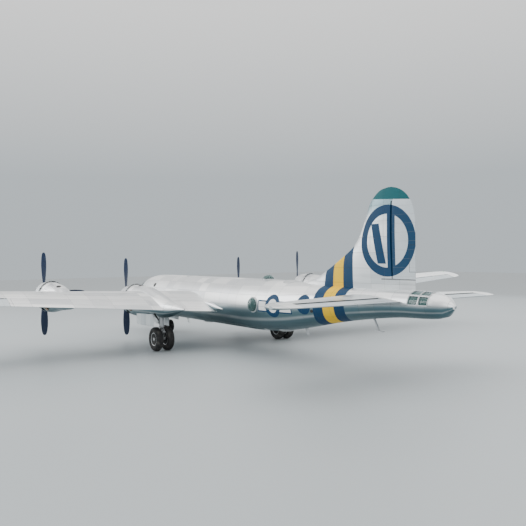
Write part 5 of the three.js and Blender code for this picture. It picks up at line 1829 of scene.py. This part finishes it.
PANEL_BLOCKS = (
    # station, height, size, edge
    (1.48, 0.67, (0.05, 1.26, 0.44), 0.02), (1.5, 0.895, (0.12, 1.2, 0.02), 0.008),
    (1.92, 0.25, (0.82, 0.24, 0.5), 0.03),
)
DIALS = {"station": 1.506, "reach": 6, "pitch": 0.093, "heights": (0.55, 0.68, 0.81)}
DIAL_RIM = ((0.036, 0.0), (0.042, 0.0), (0.042, 0.012), (0.036, 0.014), (0.036, 0.0))
DIAL_FACE = ((0.0, 0.004), (0.035, 0.004), (0.036, -0.002))
DIAL_HAND = {"lift": 0.007, "length": 0.026, "radius": 0.002, "per_column": 0.7, "per_metre": 9}
LEVERS = {
    "stations": (1.8, 1.87, 1.94, 2.01), "aside": 0.05, "low": 0.49, "high": 0.62, "lean": 0.05,
    "radius": 0.008,
}
KNOB = ((0.0, -0.02), (0.016, -0.012), (0.02, 0.0), (0.016, 0.012), (0.0, 0.02))


def add_pad(name, centre, size, axes):
    """A crowned pad with a sewn edge: its sides pull in between the corners, and two seams cross its face."""
    a, b, c = (axis * length / 2 for axis, length in zip(axes, size))
    power, under = PAD["square"], PAD["under"]
    rings = []
    for tilt in steps(-pi / 2, pi / 2, PAD["rows"]):
        share, lift = abs(cos(tilt)) ** PAD["round"], sin(tilt)
        ring = []
        for turn in turns(PAD["sides"]):
            u, v = cos(turn), sin(turn)
            waist = 1 - PAD["waist"] * cos(2 * turn) ** 2
            square = (abs(u) ** power + abs(v) ** power) ** (-1 / power) * waist * share
            away = [(u * square - line) / PAD_SEAM["width"] for line in PAD_SEAM["lines"]]
            seam = sum(PAD_SEAM["depth"] * 2 ** -(off**2) for off in away)
            crown = mix(1, PAD["crown"], square**2)
            rise = lift * (1 - seam) * crown if lift > 0 else lift * under
            ring.append(centre + a * u * square + b * v * square + c * rise)
        rings.append(ring)
    shape = Shape().loft(rings)
    edge = [centre + (point - centre) * PAD_PIPING["grow"] for point in rings[PAD["rows"] // 2]]
    shape.pipe(edge + edge[:2], PAD_PIPING["radius"], 6)
    pad = make(name, shape, "leather", sharp=60)


def add_seat(name, y):
    row, shape = SEAT, Shape()
    pan = COCKPIT_FLOOR + row["pan"]
    width = 2 * row["half"]
    size = (row["back"] - row["front"], width, row["pan_thick"])
    shape.slab(at((row["front"] + row["back"]) / 2, y, pan + row["pan_thick"] / 2), size, row["pan_edge"])
    station, height = row["rest"]
    thick, tall = row["rest_size"]
    shape.slab(at(station, y, pan + height), (thick, width, tall), row["rest_edge"])
    for hand in HANDS:
        edge = y + hand * (row["half"] - row["rim"])
        for station in SEAT_LEGS["stations"]:
            foot = at(station, y + hand * SEAT_LEGS["foot"], COCKPIT_FLOOR)
            shape.rod(foot, at(station, edge, pan + SEAT_LEGS["into"]), SEAT_LEGS["radius"], sides=12)
        aside = edge + hand * SEAT_ARM["aside"]
        shape.pipe([at(s, aside, pan + height) for s, height in SEAT_ARM["points"]], SEAT_ARM["radius"], 12)
        aside = y + hand * HEAD_POST["aside"]
        post = [at(HEAD_POST["station"], aside, pan + HEAD_POST[end]) for end in ("low", "high")]
        shape.rod(*post, HEAD_POST["radius"], sides=8)
    rail = [at(SEAT_RAIL[end], y, COCKPIT_FLOOR + SEAT_RAIL["height"]) for end in ("from", "to")]
    shape.rod(*rail, SEAT_RAIL["radius"], sides=12)
    make(f"seat_frame_{name}", shape, "cabin", replaces=[f"seat_{name}"])
    for pad, station, height, length, wide, thick, axes in PADS:
        size = (length, wide or width - row["rim"], thick)
        add_pad(f"seat_{pad}_{name}", at(station, y, pan + height), size, axes)


def add_panel():
    panel, dials = Shape(), Shape()
    for station, height, size, edge in PANEL_BLOCKS:
        panel.slab(at(station, 0, COCKPIT_FLOOR + height), size, edge)
    outermost, top_row = DIALS["reach"], DIALS["heights"][-1]
    for column in range(-outermost, outermost + 1):
        for height in DIALS["heights"]:
            if column == 0 or abs(column) == outermost and height == top_row:
                continue
            centre = at(DIALS["station"], column * DIALS["pitch"], COCKPIT_FLOOR + height)
            panel.lathe(centre, -FORWARD, DIAL_RIM, 24)
            dials.lathe(centre, -FORWARD, DIAL_FACE, 24)
            turn = column * DIAL_HAND["per_column"] + height * DIAL_HAND["per_metre"]
            root, reach = centre - FORWARD * DIAL_HAND["lift"], DIAL_HAND["length"]
            tip = root + LEFT * reach * cos(turn) + UP * reach * sin(turn)
            panel.rod(root, tip, DIAL_HAND["radius"], sides=6)
    for station in LEVERS["stations"]:
        for hand in HANDS:
            foot = at(station, hand * LEVERS["aside"], COCKPIT_FLOOR + LEVERS["low"])
            tip = at(station - LEVERS["lean"], hand * LEVERS["aside"], COCKPIT_FLOOR + LEVERS["high"])
            panel.rod(foot, tip, LEVERS["radius"], sides=8)
            panel.lathe(tip, UP, KNOB, 12)
    make("panel_and_stand", panel, "cabin", replaces=["instrument_panel"])
    make("dial_faces", dials, "black")


def add_cockpit():
    for name, side in SIDES:
        add_seat(name, side * SEAT["y"])
    add_panel()


# Lamps, tubes and fairings

LAMP = ((0.0, 0.045), (0.02, 0.042), (0.038, 0.03), (0.048, 0.012), (0.052, -0.02))
WING_LAMP = (20.9, 0.3, 0.9)  # span, share of the chord, share of the half thickness
LANDING_LAMP = {"y": 13.6, "share": 0.13, "lens": 0.12, "ring": 0.145}
AIR_TUBE = {
    "station": 1.9, "angle": radians(-38), "sunk": -0.02, "radius": 0.018, "probe": (0.28, 0.46),
    "points": ((0, 0), (0.16, 0), (0.2, 0.06), (0.2, 0.3)),  # out, ahead
    "probe_out": 0.2, "probe_radii": (0.013, 0.011),
}
FILLET = (
    # station, degrees round the body, half width, half height
    (11.6, 3, 0.14, 0.1), (12.4, -2, 0.2, 0.16), (12.95, -6, 0.2, 0.2), (13.6, -11, 0.14, 0.17),
    (14.1, -13.5, 0.08, 0.1), (14.5, -14.5, 0.035, 0.05), (14.7, -15, 0.012, 0.02),
)
FILLET_DEPTH = -0.04
MASTS = (7.2, 20.6)  # stations of the blades under the fuselage
MAST_ROWS = (
    # share of the height, half chord, half thickness
    (0, 0.15, 0.026), (0.5, 0.1125, 0.0195), (0.92, 0.081, 0.01404), (1.0, 0.045, 0.013),
)
MAST = {"height": 0.36, "sunk": 0.02, "rake": 0.16, "front": 0.5}
TAIL_LAMP = {"station": 30.145, "z": 3.4, "profile": ((0.11, -0.03), (0.1, 0.0), (0.07, 0.022), (0.0, 0.034))}


def add_landing_lamp(name, side):
    row = LANDING_LAMP

    def place(du, dv, lift):
        share = row["share"] + du / wing_chord(row["y"])
        return wing_spot(row["y"] + dv, share, -1, side) - UP * lift

    lens, ring = Shape(), Shape()
    disc_on(lens, place, row["lens"], LENS)
    disc_on(ring, place, row["ring"], LENS_RING)
    make(f"landing_lamp_{name}", lens, "clear_lamp")
    make(f"landing_lamp_ring_{name}", ring, "gear")


def add_air_tube(name, side):
    row = AIR_TUBE
    foot = body_spot(row["station"], row["angle"], row["sunk"], side)
    out = LEFT * side * cos(row["angle"]) + UP * sin(row["angle"])
    path = [foot + out * reach + FORWARD * ahead for reach, ahead in row["points"]]
    tube = Shape().pipe(smooth_path(path, 24), row["radius"], 14)
    ends = [foot + out * row["probe_out"] + FORWARD * ahead for ahead in row["probe"]]
    tube.rod(*ends, *row["probe_radii"], 14)
    make(f"air_speed_tube_{name}", tube, "gear")


def add_fillet(name, side):
    rings = []
    for station in steps(FILLET[0][0], FILLET[-1][0], 30):
        degrees, wide, high = curve_at(FILLET, station)
        centre = body_spot(station, radians(degrees), FILLET_DEPTH, side)
        rings.append(ellipse(centre, LEFT * wide, UP * high, 28))
    make(f"wing_fillet_{name}", Shape().loft(rings), "body")


def add_masts():
    masts = Shape()
    for station in MASTS:
        radius, height = body_at(station)
        rings = []
        for share, half, thick in MAST_ROWS:
            z = height - radius + MAST["sunk"] - MAST["height"] * share
            centre = at(station + MAST["rake"] * share, 0, z)
            ring = []
            for turn in turns(20):
                fuller = 1 + MAST["front"] * cos(turn)
                ring.append(centre + FORWARD * half * cos(turn) + LEFT * thick * sin(turn) * fuller)
            rings.append(ring)
        masts.loft(rings)
    make("aerial_masts", masts, "gear")


def add_fittings():
    for name, side in SIDES:
        lamp = Shape().lathe(wing_spot(*WING_LAMP, side), UP, LAMP, 24)
        make(f"wing_lamp_{name}", lamp, "red_lamp" if side > 0 else "green_lamp")
        add_landing_lamp(name, side)
        add_air_tube(name, side)
        add_fillet(name, side)
    add_masts()
    lamp = Shape().lathe(at(TAIL_LAMP["station"], 0, TAIL_LAMP["z"]), -FORWARD, TAIL_LAMP["profile"], 24)
    make("tail_lamp", lamp, "clear_lamp")


FLOOR_HALF = 70


def add_floor():
    net = Net("pale_floor")
    cloud = net.noise(0.15, 3.0)
    net.set(color=net.blend(cloud, (0.36, 0.40, 0.42), (0.43, 0.46, 0.47)))
    net.set(rough=net.number(cloud, 0.42, 0.55))
    net.bump(net.noise(60.0, 2.0), 0.001, 0.1)
    corners = [(x * FLOOR_HALF, y * FLOOR_HALF, 0) for x, y in ((-1, -1), (1, -1), (1, 1), (-1, 1))]
    mesh = bpy.data.meshes.new("floor")
    mesh.from_pydata(corners, [], [(0, 1, 2, 3)])
    mesh.materials.append(net.material)
    floor = bpy.data.objects.new("floor", mesh)
    floor.location.z = CAD_BOX[0][2]
    bpy.context.scene.collection.objects.link(floor)


add_camera()
add_lights()
dress_nodes()
add_wings()
add_fin()
add_tailplane()
add_nacelles()
add_propellers()
add_engines()
add_wheels()
add_fuselage()
add_glazing()
add_doors()
add_body_discs()
add_nacelle_details()
add_gear()
add_cockpit()
add_fittings()
add_floor()
